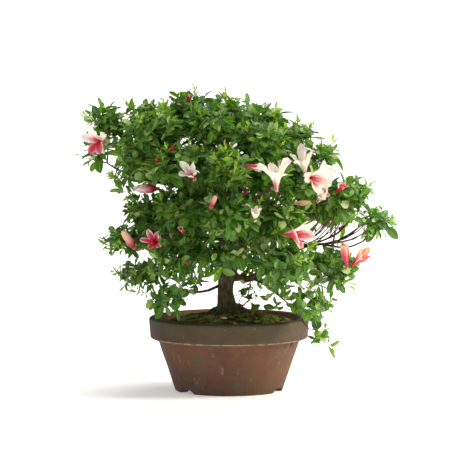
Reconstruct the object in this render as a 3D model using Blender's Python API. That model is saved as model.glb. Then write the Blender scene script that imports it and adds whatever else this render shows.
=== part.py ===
"""A flowering azalea bonsai in a round unglazed pot, in metres, with +Z up.

The pot is turned, with a heavy rim band and a foot ring that three notches part into feet.
It holds a drain screen with its wire staple, a drainage layer, soil, moss and a pebble.
The tree is one woody piece, from its surface roots to its side branches.
Every spray of leaves, open flower and bud is a solid of its own, next to the wood that bears it.
"""

import math

import bmesh
import bpy
from mathutils import Matrix, Vector

MM = 0.001
GAP = 0.3 * MM  # left between pieces that touch

# ---- driving dimensions -------------------------------------------------------------------
RIM_DIAMETER = 0.240
BASE_DIAMETER = 0.160
POT_HEIGHT = 0.110
BAND_HEIGHT = 0.031  # of the thick band below the rim
BAND_STEP = 0.012  # how far the band stands out of the wall below it
BAND_THICKNESS = 0.0125
WALL = 0.009
FLOOR = 0.009
FOOT_HEIGHT = 0.007
FOOT_WIDTH = 0.014
FOOT_NOTCHES = 3
NOTCH_WIDTH = 0.027
FIRST_NOTCH_TURN = math.radians(67)  # from the front, towards +X
DRAIN_RADIUS = 0.015
EDGE_ROUND = 0.003

SCREEN_OVERLAP = 0.003  # how far the screen's sides reach past the drain hole
SCREEN_CELLS = 3  # odd, so that the staple drops through the middle row
SCREEN_BAR = 0.0012
STAPLE_WIRE = 0.0010  # radius
STAPLE_FOOT = 0.008  # how far its ends reach past the hole, under the floor

DRAINAGE_DEPTH = 0.012
SOIL_BELOW_RIM = 0.010  # at the wall
MOUND = 0.013  # how much higher the soil stands at the trunk
MOSS_DEPTH = 0.0035
MOSS_MARGIN = 0.0196  # bare soil between the moss and the wall
PEBBLE_TURN = math.radians(-7.4)  # from the front, towards +X
PEBBLE_INSET = 0.0215  # from the moss's edge
PEBBLE_RADII = (0.006, 0.0045, 0.004)

SPREAD = 0.470  # the tree's width
TREE_HEIGHT = 0.330  # from the soil at the trunk to the top leaf
TRUNK_RADIUS = 0.0115
LIMB_SIDES = 6
SIDE_BRANCH_RADIUS = 0.0019
SIDE_BRANCH_TIP = 0.0010
SPRAY_FULLNESS = 1.15  # scales every spray of leaves about its own centre
FLOWER_SIZE = 1.0  # scales every flower and bud about its own base

# The places below are in millimetres, x to the right, y to the back and z up from the soil at
# the trunk, for a tree of the drawn width and height. at() scales them to SPREAD and TREE_HEIGHT,
# and the sprays and flowers grow or shrink with the spread.
DRAWN_SPREAD = 0.470
DRAWN_HEIGHT = 0.330

TRUNK = [
    (-2, 0, -34), (-2, 0, -14), (-2, 0, 0), (-3, 0, 8), (-5, 0, 20), (-6, 0, 36), (-4, 1, 54),
    (5, 4, 76), (15, 8, 110), (19, 9, 148), (11, 7, 192), (0, 4, 236), (-8, 0, 270),
]
TRUNK_SHARES = [0.7, 1.7, 2.1, 1.6, 1.15, 1.0, 1.05, 0.9, 0.75, 0.62, 0.46, 0.34, 0.22]

# Each surface root: its turn from the front in degrees, how far it runs, and its thickness.
ROOTS = [(-95, 46, 7.5), (-40, 36, 6.5), (22, 34, 6.0), (80, 48, 8.0), (140, 36, 6.5), (215, 38, 7.0)]

# Each limb: its radius at the trunk and at its tip, and the points it passes through.
LIMBS = {
    "left_arm": (3.8, 1.4, [(12, 7, 184), (-43, -12, 186), (-84, -24, 195), (-128, -36, 206),
                            (-162, -44, 219), (-180, -48, 230)]),
    "left_middle": (3.4, 1.3, [(15, 8, 108), (-30, -20, 116), (-72, -38, 120), (-112, -36, 122)]),
    "left_low": (3.0, 1.2, [(-4, 0, 50), (-30, -16, 38), (-58, -32, 36), (-88, -40, 34),
                            (-112, -44, 34)]),
    "right_thick": (7.4, 3.0, [(-3, 1, 58), (24, -6, 59), (49, -14, 63), (69, -20, 79),
                               (88, -18, 96), (106, -14, 120)]),
    "right_arm": (2.9, 1.4, [(84, -18, 92), (112, -10, 102), (136, -4, 106), (173, -2, 100),
                             (200, -2, 110)]),
    "right_low": (2.6, 1.2, [(36, -12, 58), (60, -42, 44), (82, -66, 28), (98, -84, 14)]),
    "right_out": (2.6, 1.2, [(52, -16, 66), (84, -34, 62), (112, -40, 56), (150, -46, 42)]),
    "right_rise": (3.6, 1.5, [(17, 9, 124), (40, 4, 158), (66, -2, 190), (88, -6, 206)]),
    "front": (3.6, 1.4, [(10, 6, 92), (10, -36, 110), (10, -72, 128), (6, -94, 142)]),
    "front_high": (3.0, 1.3, [(18, 9, 158), (6, -34, 186), (-6, -62, 214)]),
    "back": (3.8, 1.4, [(12, 7, 100), (18, 44, 116), (22, 78, 132), (18, 100, 146)]),
    "back_high": (3.2, 1.3, [(16, 8, 170), (0, 44, 204), (-16, 72, 226)]),
    "back_left": (3.4, 1.3, [(18, 9, 134), (-26, 42, 152), (-64, 62, 168), (-92, 70, 182)]),
    "back_right": (3.4, 1.3, [(14, 8, 108), (44, 40, 128), (76, 58, 146), (98, 64, 158)]),
    "crown_left": (3.0, 1.3, [(8, 6, 200), (-40, 0, 226), (-86, -6, 242), (-124, -8, 250)]),
    "crown_right": (3.0, 1.3, [(6, 5, 212), (20, 2, 232), (40, 2, 246)]),
}

# Each spray of leaves: its centre, and its half-width, half-depth and half-height.
SPRAYS = {
    "crown_1": ((-58, -16, 300), (48, 50, 27)),
    "crown_2": ((-2, 26, 294), (44, 50, 26)),
    "crown_3": ((-120, -4, 288), (42, 48, 24)),
    "crown_4": ((-178, -16, 286), (34, 36, 22)),
    "crown_5": ((50, -2, 282), (40, 48, 26)),
    "crown_6": ((94, -4, 256), (38, 50, 29)),
    "crown_7": ((134, -2, 234), (28, 36, 16)),
    "crown_8": ((-84, 80, 278), (50, 46, 27)),
    "crown_9": ((12, 96, 268), (54, 46, 28)),
    "crown_10": ((-104, -82, 274), (52, 48, 31)),
    "crown_11": ((-30, -84, 280), (50, 48, 32)),
    "crown_12": ((40, -78, 260), (50, 48, 32)),
    "arm_tip": ((-186, -48, 240), (32, 36, 20)),
    "arm_middle": ((-128, -66, 232), (44, 48, 28)),
    "front_1": ((-70, -112, 226), (48, 44, 33)),
    "front_2": ((-2, -124, 222), (50, 46, 34)),
    "front_3": ((62, -116, 204), (46, 46, 33)),
    "shoulder": ((108, -54, 206), (42, 50, 28)),
    "back_1": ((-118, 56, 222), (54, 56, 36)),
    "back_2": ((-34, 128, 206), (60, 48, 40)),
    "back_3": ((76, 104, 200), (58, 54, 38)),
    "heart_1": ((-66, -92, 170), (50, 52, 33)),
    "heart_2": ((2, -134, 156), (52, 46, 34)),
    "heart_3": ((66, -100, 144), (48, 50, 34)),
    "right_top": ((164, -12, 172), (44, 52, 26)),
    "right_tip": ((214, -4, 134), (32, 38, 19)),
    "right_back": ((140, 70, 150), (52, 54, 34)),
    "back_4": ((24, 142, 128), (62, 44, 36)),
    "left_shoulder": ((-114, -40, 152), (42, 50, 27)),
    "left_tip": ((-148, -30, 112), (36, 44, 22)),
    "left_low_tip": ((-126, -66, 66), (42, 40, 20)),
    "left_inner": ((-70, -88, 96), (46, 50, 31)),
    "left_hanging": ((-90, -88, 30), (30, 30, 17)),
    "skirt": ((-4, -112, 96), (46, 44, 28)),
    "left_back": ((-96, 76, 118), (56, 56, 34)),
    "right_front": ((76, -92, 84), (50, 50, 29)),
    "right_side": ((146, -42, 74), (42, 52, 28)),
    "right_hanging": ((116, -98, 26), (38, 34, 24)),
}

# Each spray that hangs past the pot's rim: its turn from the front in degrees, how far past the
# rim and how far below its top its centre is, and its half-width, half-depth and half-height.
HANGING_SPRAYS = {"right_sprig": (52, 48, 25, (16, 15, 22))}

# Each open flower or bud: its base, the way it faces, the radius of its mouth and its length.
FLOWERS = {
    "flower_left_tip": ((-182, -78, 262), (-0.50, -0.84, 0.16), 23, 26),
    "flower_front_left": ((-50, -142, 212), (-0.30, -0.75, 0.58), 14, 20),
    "flower_faded": ((26, -154, 233), (0.86, -0.40, -0.10), 8, 18),
    "flower_white_upright": ((69, -146, 196), (0.05, -0.40, 0.91), 26, 32),
    "flower_white_shoulder": ((113, -92, 211), (0.32, -0.88, 0.34), 27, 28),
    "flower_pink_edge": ((80, -136, 132), (0.74, -0.64, 0.22), 24, 26),
    "flower_right_tall": ((173, -86, 81), (-0.12, -0.40, 0.91), 11, 28),
    "flower_right_wide": ((180, -72, 79), (0.62, -0.48, 0.62), 14, 26),
    "flower_lower_left": ((-104, -110, 116), (-0.34, -0.90, 0.26), 17, 18),
    "bud_left": ((-104, -78, 194), (-0.99, -0.14, 0.02), 9, 32),
    "bud_centre": ((-27, -172, 173), (0.34, -0.44, 0.83), 6, 17),
    "bud_lower_left": ((-138, -92, 107), (-0.50, -0.38, 0.78), 7, 28),
    "bud_right": ((97, -106, 175), (0.97, -0.18, 0.06), 6, 26),
}


# ---- materials ----------------------------------------------------------------------------
def material(name, hex_colour, roughness):
    """A plain Principled material of an sRGB colour."""
    channels = [int(hex_colour[i : i + 2], 16) / 255 for i in (0, 2, 4)]
    linear = [c / 12.92 if c <= 0.04045 else ((c + 0.055) / 1.055) ** 2.4 for c in channels]
    made = bpy.data.materials.new(name)
    made.use_nodes = True
    shader = made.node_tree.nodes["Principled BSDF"]
    shader.inputs["Base Color"].default_value = (*linear, 1)
    shader.inputs["Roughness"].default_value = roughness
    made.diffuse_color = (*linear, 1)
    return made


# ---- shared shapes ------------------------------------------------------------------------
def finish(name, bm, look, smooth=True):
    """A named object from a bmesh, closed, facing outwards and with its material."""
    bmesh.ops.remove_doubles(bm, verts=bm.verts, dist=GAP / 100)
    bmesh.ops.recalc_face_normals(bm, faces=bm.faces)
    mesh = bpy.data.meshes.new(name)
    bm.to_mesh(mesh)
    bm.free()
    if smooth:
        mesh.shade_smooth()
        mesh.set_sharp_from_angle(angle=math.radians(40))
    made = bpy.data.objects.new(name, mesh)
    bpy.context.scene.collection.objects.link(made)
    made.data.materials.append(look)
    return made


def turned(name, profile, look, steps):
    """A solid turned about Z from a closed profile of (radius, height) points."""
    bm = bmesh.new()
    points = [bm.verts.new((radius, 0, height)) for radius, height in profile]
    edges = [bm.edges.new(pair) for pair in zip(points, points[1:] + points[:1])]
    bmesh.ops.spin(
        bm, geom=points + edges, cent=(0, 0, 0), axis=(0, 0, 1), angle=math.tau, steps=steps, use_merge=True
    )
    return finish(name, bm, look)


def rounded(corner, before, after, radius, steps=2):
    """The points of a fillet at a profile's corner, between its two neighbours."""
    corner, before, after = Vector(corner), Vector(before), Vector(after)
    to_before = (before - corner).normalized()
    to_after = (after - corner).normalized()
    half = to_before.angle(to_after) / 2
    back = min(radius / math.tan(half), 0.45 * (before - corner).length, 0.45 * (after - corner).length)
    start, end = corner + to_before * back, corner + to_after * back
    shares = [i / steps for i in range(steps + 1)]
    return [tuple((1 - t) ** 2 * start + 2 * t * (1 - t) * corner + t * t * end) for t in shares]


def smooth_route(points, values, per_span):
    """Points and values along a Catmull-Rom curve through the given ones."""
    routes, sizes = [], []
    ends = [points[0] * 2 - points[1], *points, points[-1] * 2 - points[-2]]
    for i in range(len(points) - 1):
        a, b, c, d = ends[i : i + 4]
        for step in range(per_span):
            t = step / per_span
            square, cube = 2 * a - 5 * b + 4 * c - d, 3 * b - a - 3 * c + d
            routes.append(0.5 * (2 * b + (c - a) * t + square * t * t + cube * t**3))
            sizes.append(values[i] * (1 - t) + values[i + 1] * t)
    return routes + [points[-1]], sizes + [values[-1]]


def tube(name, route, radii, sides, look):
    """A closed round bar that follows a route and changes its radius along it."""
    bm = bmesh.new()
    rings = []
    across = Vector((1, 0.13, 0.07))
    for i, (centre, radius) in enumerate(zip(route, radii)):
        along = (route[min(i + 1, len(route) - 1)] - route[max(i - 1, 0)]).normalized()
        across = (across - along * across.dot(along)).normalized()
        other = along.cross(across)
        ring = []
        for k in range(sides):
            turn = math.tau * k / sides
            ring.append(bm.verts.new(centre + (across * math.cos(turn) + other * math.sin(turn)) * radius))
        rings.append(ring)
    for low, high in zip(rings, rings[1:]):
        for k in range(sides):
            bm.faces.new((low[k], low[(k + 1) % sides], high[(k + 1) % sides], high[k]))
    bm.faces.new(rings[0])
    bm.faces.new(rings[-1])
    return finish(name, bm, look)


def combined(target, others, operation):
    """The target's mesh after a Boolean with several others, which are then removed."""
    group = bpy.data.collections.new(target.name + "_tools")
    bpy.context.scene.collection.children.link(group)
    for other in others:
        bpy.context.scene.collection.objects.unlink(other)
        group.objects.link(other)
    boolean = target.modifiers.new("combined", "BOOLEAN")
    boolean.operand_type = "COLLECTION"
    boolean.collection = group
    boolean.operation = operation
    graph = bpy.context.evaluated_depsgraph_get()
    mesh = bpy.data.meshes.new_from_object(target.evaluated_get(graph))
    target.modifiers.clear()
    target.data = mesh
    for other in others:
        bpy.data.objects.remove(other)
    bpy.data.collections.remove(group)
    return target


# ---- the pot ------------------------------------------------------------------------------
RIM_RADIUS = RIM_DIAMETER / 2
BASE_RADIUS = BASE_DIAMETER / 2
BAND_BOTTOM = POT_HEIGHT - BAND_HEIGHT
FLOOR_TOP = FOOT_HEIGHT + FLOOR
BAND_BOTTOM_RADIUS = RIM_RADIUS - 0.002  # the band narrows a little downwards
WALL_TOP_RADIUS = BAND_BOTTOM_RADIUS - BAND_STEP
INNER_RIM_RADIUS = RIM_RADIUS - BAND_THICKNESS
INNER_FLOOR_RADIUS = BASE_RADIUS - WALL
SCREEN_SIDE = 2 * (DRAIN_RADIUS + SCREEN_OVERLAP)
SOIL_EDGE = POT_HEIGHT - SOIL_BELOW_RIM
SOIL_TOP = SOIL_EDGE + MOUND


def wall_radius(height):
    """The pot's inner radius at a height, along a wall that is straight from floor to rim."""
    share = (height - FLOOR_TOP) / (POT_HEIGHT - FLOOR_TOP)
    return INNER_FLOOR_RADIUS + (INNER_RIM_RADIUS - INNER_FLOOR_RADIUS) * share


def make_pot(look):
    corners = [
        (DRAIN_RADIUS, FOOT_HEIGHT, 0),
        (BASE_RADIUS - FOOT_WIDTH - EDGE_ROUND, FOOT_HEIGHT, 0),
        (BASE_RADIUS - FOOT_WIDTH, 0, 0),
        (BASE_RADIUS, 0, EDGE_ROUND),
        (WALL_TOP_RADIUS, BAND_BOTTOM - EDGE_ROUND, 0),
        (BAND_BOTTOM_RADIUS, BAND_BOTTOM, EDGE_ROUND * 1.5),
        (RIM_RADIUS, POT_HEIGHT, EDGE_ROUND * 1.3),
        (INNER_RIM_RADIUS, POT_HEIGHT, EDGE_ROUND),
        (INNER_FLOOR_RADIUS, FLOOR_TOP, EDGE_ROUND * 2),
        (DRAIN_RADIUS, FLOOR_TOP, 0),
    ]
    profile = []
    for i, (radius, height, fillet) in enumerate(corners):
        before, after = corners[i - 1][:2], corners[(i + 1) % len(corners)][:2]
        if fillet:
            profile += rounded((radius, height), before, after, fillet)
        else:
            profile.append((radius, height))
    pot = turned("pot", profile, look, steps=36)
    notches = []
    for k in range(FOOT_NOTCHES):
        turn = FIRST_NOTCH_TURN + k * math.tau / FOOT_NOTCHES
        notches.append(foot_notch(f"notch_{k}", turn, look))
    return combined(pot, notches, "DIFFERENCE")


def foot_notch(name, turn, look):
    """A low arch, wide at the table and rounded at its top, that runs out through the foot ring."""
    top = FOOT_HEIGHT * 0.9
    half = NOTCH_WIDTH / 2
    outline = [(half + 0.002, -0.002), *rounded((half - 0.003, top), (half, 0), (0, top), 0.005), (0, top)]
    outline += [(-x, z) for x, z in reversed(outline[:-1])]
    bm = bmesh.new()
    inner = BASE_RADIUS - FOOT_WIDTH * 1.6
    ring = [bm.verts.new((x, -inner, z)) for x, z in outline]
    face = bm.faces.new(ring)
    outward = bmesh.ops.extrude_face_region(bm, geom=[face])
    moved = [v for v in outward["geom"] if isinstance(v, bmesh.types.BMVert)]
    bmesh.ops.translate(bm, verts=moved, vec=(0, -FOOT_WIDTH * 3, 0))
    bmesh.ops.rotate(bm, verts=bm.verts, cent=(0, 0, 0), matrix=Matrix.Rotation(turn, 3, "Z"))
    return finish(name, bm, look)


# ---- what the pot holds -------------------------------------------------------------------
def make_screen(look):
    """A square plastic net that lies over the drain hole."""
    pitch = SCREEN_SIDE / SCREEN_CELLS
    middles = [(k - SCREEN_CELLS / 2) * pitch for k in range(SCREEN_CELLS + 1)]
    lines = [middle + side * SCREEN_BAR / 2 for middle in middles for side in (-1, 1)]
    bm = bmesh.new()
    grid = [[bm.verts.new((x, y, FLOOR_TOP + GAP)) for y in lines] for x in lines]
    for i in range(len(lines) - 1):
        for j in range(len(lines) - 1):
            if i % 2 == 0 or j % 2 == 0:
                bm.faces.new((grid[i][j], grid[i + 1][j], grid[i + 1][j + 1], grid[i][j + 1]))
    raised = bmesh.ops.extrude_face_region(bm, geom=bm.faces[:])
    moved = [v for v in raised["geom"] if isinstance(v, bmesh.types.BMVert)]
    bmesh.ops.translate(bm, verts=moved, vec=(0, 0, SCREEN_BAR))
    return finish("drain_screen", bm, look, smooth=False)


def make_staple(look):
    """A bent wire that holds the screen: over two bars, down the hole and out under the floor."""
    reach = SCREEN_SIDE / SCREEN_CELLS
    top = FLOOR_TOP + 2 * GAP + SCREEN_BAR + STAPLE_WIRE
    low = FOOT_HEIGHT - GAP - STAPLE_WIRE
    bend = STAPLE_WIRE
    half = [(0, top), (reach - bend, top), (reach, top - bend), (reach, low + bend), (reach + bend, low)]
    half.append((DRAIN_RADIUS + STAPLE_FOOT, low))
    outline = [(-x, z) for x, z in reversed(half[1:])] + half
    route = [Vector((x, 0, z)) for x, z in outline]
    return tube("screen_staple", route, [STAPLE_WIRE] * len(route), 6, look)


SOIL_RADIUS = wall_radius(SOIL_EDGE) - 2 * GAP
MOSS_REACH = wall_radius(SOIL_EDGE) - MOSS_MARGIN


def mound(radius):
    """The height of the soil's surface, highest at the trunk."""
    return SOIL_EDGE + MOUND * (1 - min(radius / SOIL_RADIUS, 1) ** 1.4)


def make_drainage_layer(look):
    top = FLOOR_TOP + DRAINAGE_DEPTH
    low = FLOOR_TOP + GAP
    over_screen = FLOOR_TOP + 3 * GAP + SCREEN_BAR + 2 * STAPLE_WIRE
    screen_reach = SCREEN_SIDE / 2 * math.sqrt(2) + 0.002
    profile = [
        (0, over_screen),
        (screen_reach, over_screen),
        (screen_reach + 0.001, low),
        (wall_radius(low) - EDGE_ROUND * 2, low),
        (wall_radius(low + EDGE_ROUND * 2) - 2 * GAP, low + EDGE_ROUND * 2),
        (wall_radius(top) - 2 * GAP, top),
        (0, top),
    ]
    return turned("drainage_layer", profile, look, steps=32)


def make_soil(look, roots):
    low = FLOOR_TOP + DRAINAGE_DEPTH + GAP
    surface = [(SOIL_RADIUS * s, mound(SOIL_RADIUS * s)) for s in (1, 0.8, 0.5, 0.22, 0)]
    profile = [(0, low), (wall_radius(low) - 2 * GAP, low), *surface]
    soil = turned("soil", profile, look, steps=32)
    return combined(soil, roots, "DIFFERENCE")


def make_moss(look, roots):
    """A carpet of moss with a wandering edge, lying on the soil round the trunk."""
    bm = bmesh.new()
    steps, shares = 28, (0, 0.43, 0.83, 1.0)
    inner_radius = 0.9 * TRUNK_RADIUS * max(TRUNK_SHARES)  # under the trunk's flare
    top_rings, low_rings = [], []
    for share in shares:
        top_ring, low_ring = [], []
        for k in range(steps):
            turn = math.tau * k / steps
            wander = 1 + 0.10 * math.sin(3 * turn + 0.6) + 0.05 * math.sin(7 * turn)
            radius = inner_radius + (MOSS_REACH * wander - inner_radius) * share
            x, y = radius * math.cos(turn), radius * math.sin(turn)
            lump = 1 + 0.22 * math.sin(9 * turn + 5 * share) * share
            depth = MOSS_DEPTH * (lump if share < 1 else 0.35)
            floor = mound(radius) + 2 * GAP
            top_ring.append(bm.verts.new((x, y, floor + depth)))
            low_ring.append(bm.verts.new((x, y, floor)))
        top_rings.append(top_ring)
        low_rings.append(low_ring)
    for rings in (top_rings, low_rings):
        for inner, outer in zip(rings, rings[1:]):
            for k in range(steps):
                bm.faces.new((inner[k], outer[k], outer[(k + 1) % steps], inner[(k + 1) % steps]))
        bm.faces.new(rings[0])
    for k in range(steps):
        after = (k + 1) % steps
        bm.faces.new((low_rings[-1][k], low_rings[-1][after], top_rings[-1][after], top_rings[-1][k]))
    return combined(finish("moss_carpet", bm, look), roots, "DIFFERENCE")


def make_pebble(look):
    """A worn pebble, cut flat underneath where it sits on the moss."""
    run = MOSS_REACH - PEBBLE_INSET
    base = mound(run - max(PEBBLE_RADII)) + 3 * GAP + MOSS_DEPTH * 1.22
    bm = bmesh.new()
    bmesh.ops.create_icosphere(bm, subdivisions=1, radius=1)
    for v in bm.verts:
        ripple = 1 + 0.07 * math.sin(5 * v.co.x + 3 * v.co.y)
        v.co = Vector([c * radius * ripple for c, radius in zip(v.co, PEBBLE_RADII)])
    whole = bm.verts[:] + bm.edges[:] + bm.faces[:]
    cut = bmesh.ops.bisect_plane(bm, geom=whole, plane_co=(0, 0, 0), plane_no=(0, 0, -1), clear_outer=True)
    bmesh.ops.contextual_create(bm, geom=[e for e in cut["geom_cut"] if isinstance(e, bmesh.types.BMEdge)])
    place = (run * math.sin(PEBBLE_TURN), -run * math.cos(PEBBLE_TURN), base)
    bmesh.ops.translate(bm, verts=bm.verts, vec=place)
    return finish("pebble", bm, look)


# ---- the tree's wood ----------------------------------------------------------------------
def at(x, y, z):
    """A place on the tree, scaled from the drawn size to the size wanted."""
    across, up = SPREAD / DRAWN_SPREAD, TREE_HEIGHT / DRAWN_HEIGHT
    return Vector((x * MM * across, y * MM * across, SOIL_TOP + z * MM * up))


def root_route(turn, run, radius):
    """A surface root's route and radii: out of the trunk's flare, over the mound and into it."""
    facing = Vector((math.sin(math.radians(turn)), -math.cos(math.radians(turn)), 0))
    route, radii = [], []
    for share, sunk, thick in ((0.1, -1.7, 1.0), (0.45, -0.75, 1.0), (0.7, 0.1, 0.8), (1.0, 1.6, 0.5)):
        place = facing * run * MM * share
        route.append(place + Vector((0, 0, mound(run * MM * share) - radius * MM * sunk)))
        radii.append(radius * MM * thick)
    return smooth_route(route, radii, 2)


def wood_routes():
    """Every bar of the wood as (name, route, radii, sides), from the trunk to the last limb."""
    trunk = smooth_route([at(*p) for p in TRUNK], [TRUNK_RADIUS * s for s in TRUNK_SHARES], 2)
    routes = [("trunk", *trunk, 12)]
    for i, root in enumerate(ROOTS):
        routes.append((f"root_{i}", *root_route(*root), 6))
    for name, (thick, thin, points) in LIMBS.items():
        count = len(points) - 1
        radii = [(thick + (thin - thick) * (i / count) ** 0.8) * MM for i in range(count + 1)]
        routes.append((name, *smooth_route([at(*p) for p in points], radii, 2), LIMB_SIDES))
    return routes


def spray_shapes():
    """Every spray's centre and half sizes."""
    shapes = {name: (at(*centre), radii) for name, (centre, radii) in SPRAYS.items()}
    for name, (turn, past, below, radii) in HANGING_SPRAYS.items():
        run, turn = RIM_RADIUS + past * MM, math.radians(turn)
        place = Vector((run * math.sin(turn), -run * math.cos(turn), POT_HEIGHT - below * MM))
        shapes[name] = (place, radii)
    scale = MM * SPRAY_FULLNESS * SPREAD / DRAWN_SPREAD
    return {name: (centre, [r * scale for r in radii]) for name, (centre, radii) in shapes.items()}


def side_branch(centre, radii, limbs):
    """The bar from the limb nearest to a spray up to the spray's skin."""
    start = min((p for route in limbs for p in route[2:]), key=lambda p: (p - centre).length)
    reach = ellipsoid_reach(radii, (start - centre).normalized())
    gap = (start - centre).length
    end = centre + (start - centre) * min(reach / gap * 0.7, 0.9)
    middle = (start + end) / 2 + Vector((0, 0, -0.06)) * (end - start).length
    thickness = [SIDE_BRANCH_RADIUS, (SIDE_BRANCH_RADIUS + SIDE_BRANCH_TIP) / 2, SIDE_BRANCH_TIP]
    return smooth_route([start, middle, end], thickness, 1)


# ---- leaves -------------------------------------------------------------------------------
def ellipsoid_reach(radii, direction):
    """How far an ellipsoid reaches from its centre along a direction."""
    return 1 / math.sqrt(sum((direction[i] / radii[i]) ** 2 for i in range(3)))


def ellipsoid_support(radii, direction):
    """How far a plane square to a direction can move out before it leaves an ellipsoid."""
    return math.sqrt(sum((direction[i] * radii[i]) ** 2 for i in range(3)))


def nearest_on_segment(point, start, end):
    along = end - start
    share = (point - start).dot(along) / max(along.length_squared, 1e-12)
    return start + along * min(max(share, 0), 1)


def wall_past(obstacle, centre):
    """A plane that keeps a spray off an obstacle: a point on it, and its normal away from the spray.

    The obstacle is the hull of two spheres, or of two discs that share an axis.
    """
    (start, start_radius), (end, end_radius), axis = obstacle
    nearest = nearest_on_segment(centre, start, end)
    towards = (centre - nearest).normalized()
    edge_on = math.sqrt(max(0, 1 - axis.dot(towards) ** 2)) if axis else 1
    at_start = (start - nearest).dot(towards) + start_radius * edge_on
    at_end = (end - nearest).dot(towards) + end_radius * edge_on
    return nearest + towards * (max(at_start, at_end) + GAP), -towards


def wall_past_rim(centre):
    """The plane that keeps a spray off the pot's band, square to the shortest way between them."""
    outwards = Vector((centre.x, centre.y, 0))
    nearest = outwards.normalized() * min(outwards.length, RIM_RADIUS)
    nearest.z = min(max(centre.z, BAND_BOTTOM), POT_HEIGHT)
    towards = (centre - nearest).normalized()
    return nearest + towards * GAP, -towards


def make_spray(name, centre, radii, walls, look):
    """A spray of leaves as one rounded solid, trimmed flat where it meets its neighbours."""
    bm = bmesh.new()
    bmesh.ops.create_icosphere(bm, subdivisions=2, radius=1)
    for v in bm.verts:
        direction = v.co.normalized()
        reach = ellipsoid_reach(radii, direction)
        for point, normal in walls:
            if direction.dot(normal) > 1e-6:
                reach = min(reach, (point - centre).dot(normal) / direction.dot(normal))
        v.co = centre + direction * reach
    hull = bmesh.ops.convex_hull(bm, input=bm.verts)
    bmesh.ops.delete(bm, geom=list(set(hull["geom_interior"] + hull["geom_unused"])), context="VERTS")
    bmesh.ops.delete(bm, geom=[f for f in bm.faces if f not in set(hull["geom"])], context="FACES_ONLY")
    return finish(name, bm, look, smooth=False)


def make_sprays(shapes, look, obstacles):
    """Every spray, kept off the others by a plane between each pair of neighbours."""
    for name, (centre, radii) in shapes.items():
        walls = [wall_past(obstacle, centre) for obstacle in obstacles]
        walls.append(wall_past_rim(centre))
        for other, (other_centre, other_radii) in shapes.items():
            if other == name:
                continue
            apart = (other_centre - centre).length
            towards = (other_centre - centre) / apart
            mine, theirs = ellipsoid_support(radii, towards), ellipsoid_support(other_radii, towards)
            if mine + theirs > apart - GAP:
                walls.append((centre + towards * (apart * mine / (mine + theirs) - GAP), towards))
        make_spray("leaves_" + name, centre, radii, walls, look)


# ---- flowers ------------------------------------------------------------------------------
FLOWER_NECK = 0.0012  # radius at the base
FLOWER_LIP = 1.02  # how far the petals' edge stands out, as a share of the flower's length


def flower_rings(length, mouth):
    """(distance along the flower, radius, how deep the five lobes are) from its base to its throat."""
    return [
        (0.0, FLOWER_NECK, 0.0),
        (0.5 * length, 3.0 * MM, 0.05),
        (0.86 * length, 0.72 * mouth, 0.14),
        (0.98 * length, 0.97 * mouth, 0.26),
        (FLOWER_LIP * length, 0.95 * mouth, 0.27),
        (0.90 * length, 0.50 * mouth, 0.08),
        (0.72 * length, 0.16 * mouth, 0.0),
    ]


def make_flower(name, base, facing, mouth, length, look):
    """A funnel with five lobes, dished in front, as one solid."""
    bm = bmesh.new()
    steps = 15
    rings = []
    for along, radius, lobes in flower_rings(length, mouth):
        ring = []
        for k in range(steps):
            turn = math.tau * k / steps
            lobed = radius * (1 - lobes * (0.5 - 0.5 * math.cos(5 * turn)))
            ring.append(bm.verts.new((lobed * math.cos(turn), lobed * math.sin(turn), along)))
        rings.append(ring)
    for low, high in zip(rings, rings[1:]):
        for k in range(steps):
            bm.faces.new((low[k], low[(k + 1) % steps], high[(k + 1) % steps], high[k]))
    bm.faces.new(rings[0])
    bm.faces.new(rings[-1])
    turn = facing.to_track_quat("Z", "Y").to_matrix().to_4x4()
    bmesh.ops.transform(bm, verts=bm.verts, matrix=Matrix.Translation(base) @ turn)
    return finish(name, bm, look)


# ---- the whole object ---------------------------------------------------------------------
def clear_scene():
    for left_over in list(bpy.data.objects):
        bpy.data.objects.remove(left_over)


def root_cutters(routes, look):
    """Copies of the trunk's foot and the roots, a gap thicker and longer, to cut their seats."""
    found = []
    for name, route, radii, sides in routes:
        if name == "trunk" or name.startswith("root_"):
            before = route[0] - (route[1] - route[0]).normalized() * 2 * GAP
            after = route[-1] + (route[-1] - route[-2]).normalized() * 2 * GAP
            route = [before, *route[1:-1], after]
            found.append(tube("seat_" + name, route, [r + 2 * GAP for r in radii], sides, look))
    return found


def centre_on_origin():
    """Moves the model so that the origin is the middle of its base box."""
    bpy.context.view_layer.update()
    corners = [o.matrix_world @ v.co for o in bpy.data.objects for v in o.data.vertices]
    middle = [(min(c[i] for c in corners) + max(c[i] for c in corners)) / 2 for i in (0, 1)]
    for o in bpy.data.objects:
        o.location -= Vector((*middle, 0))
    print(f"the pot's axis is at x {-middle[0]:.6f}, y {-middle[1]:.6f}")


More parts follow.
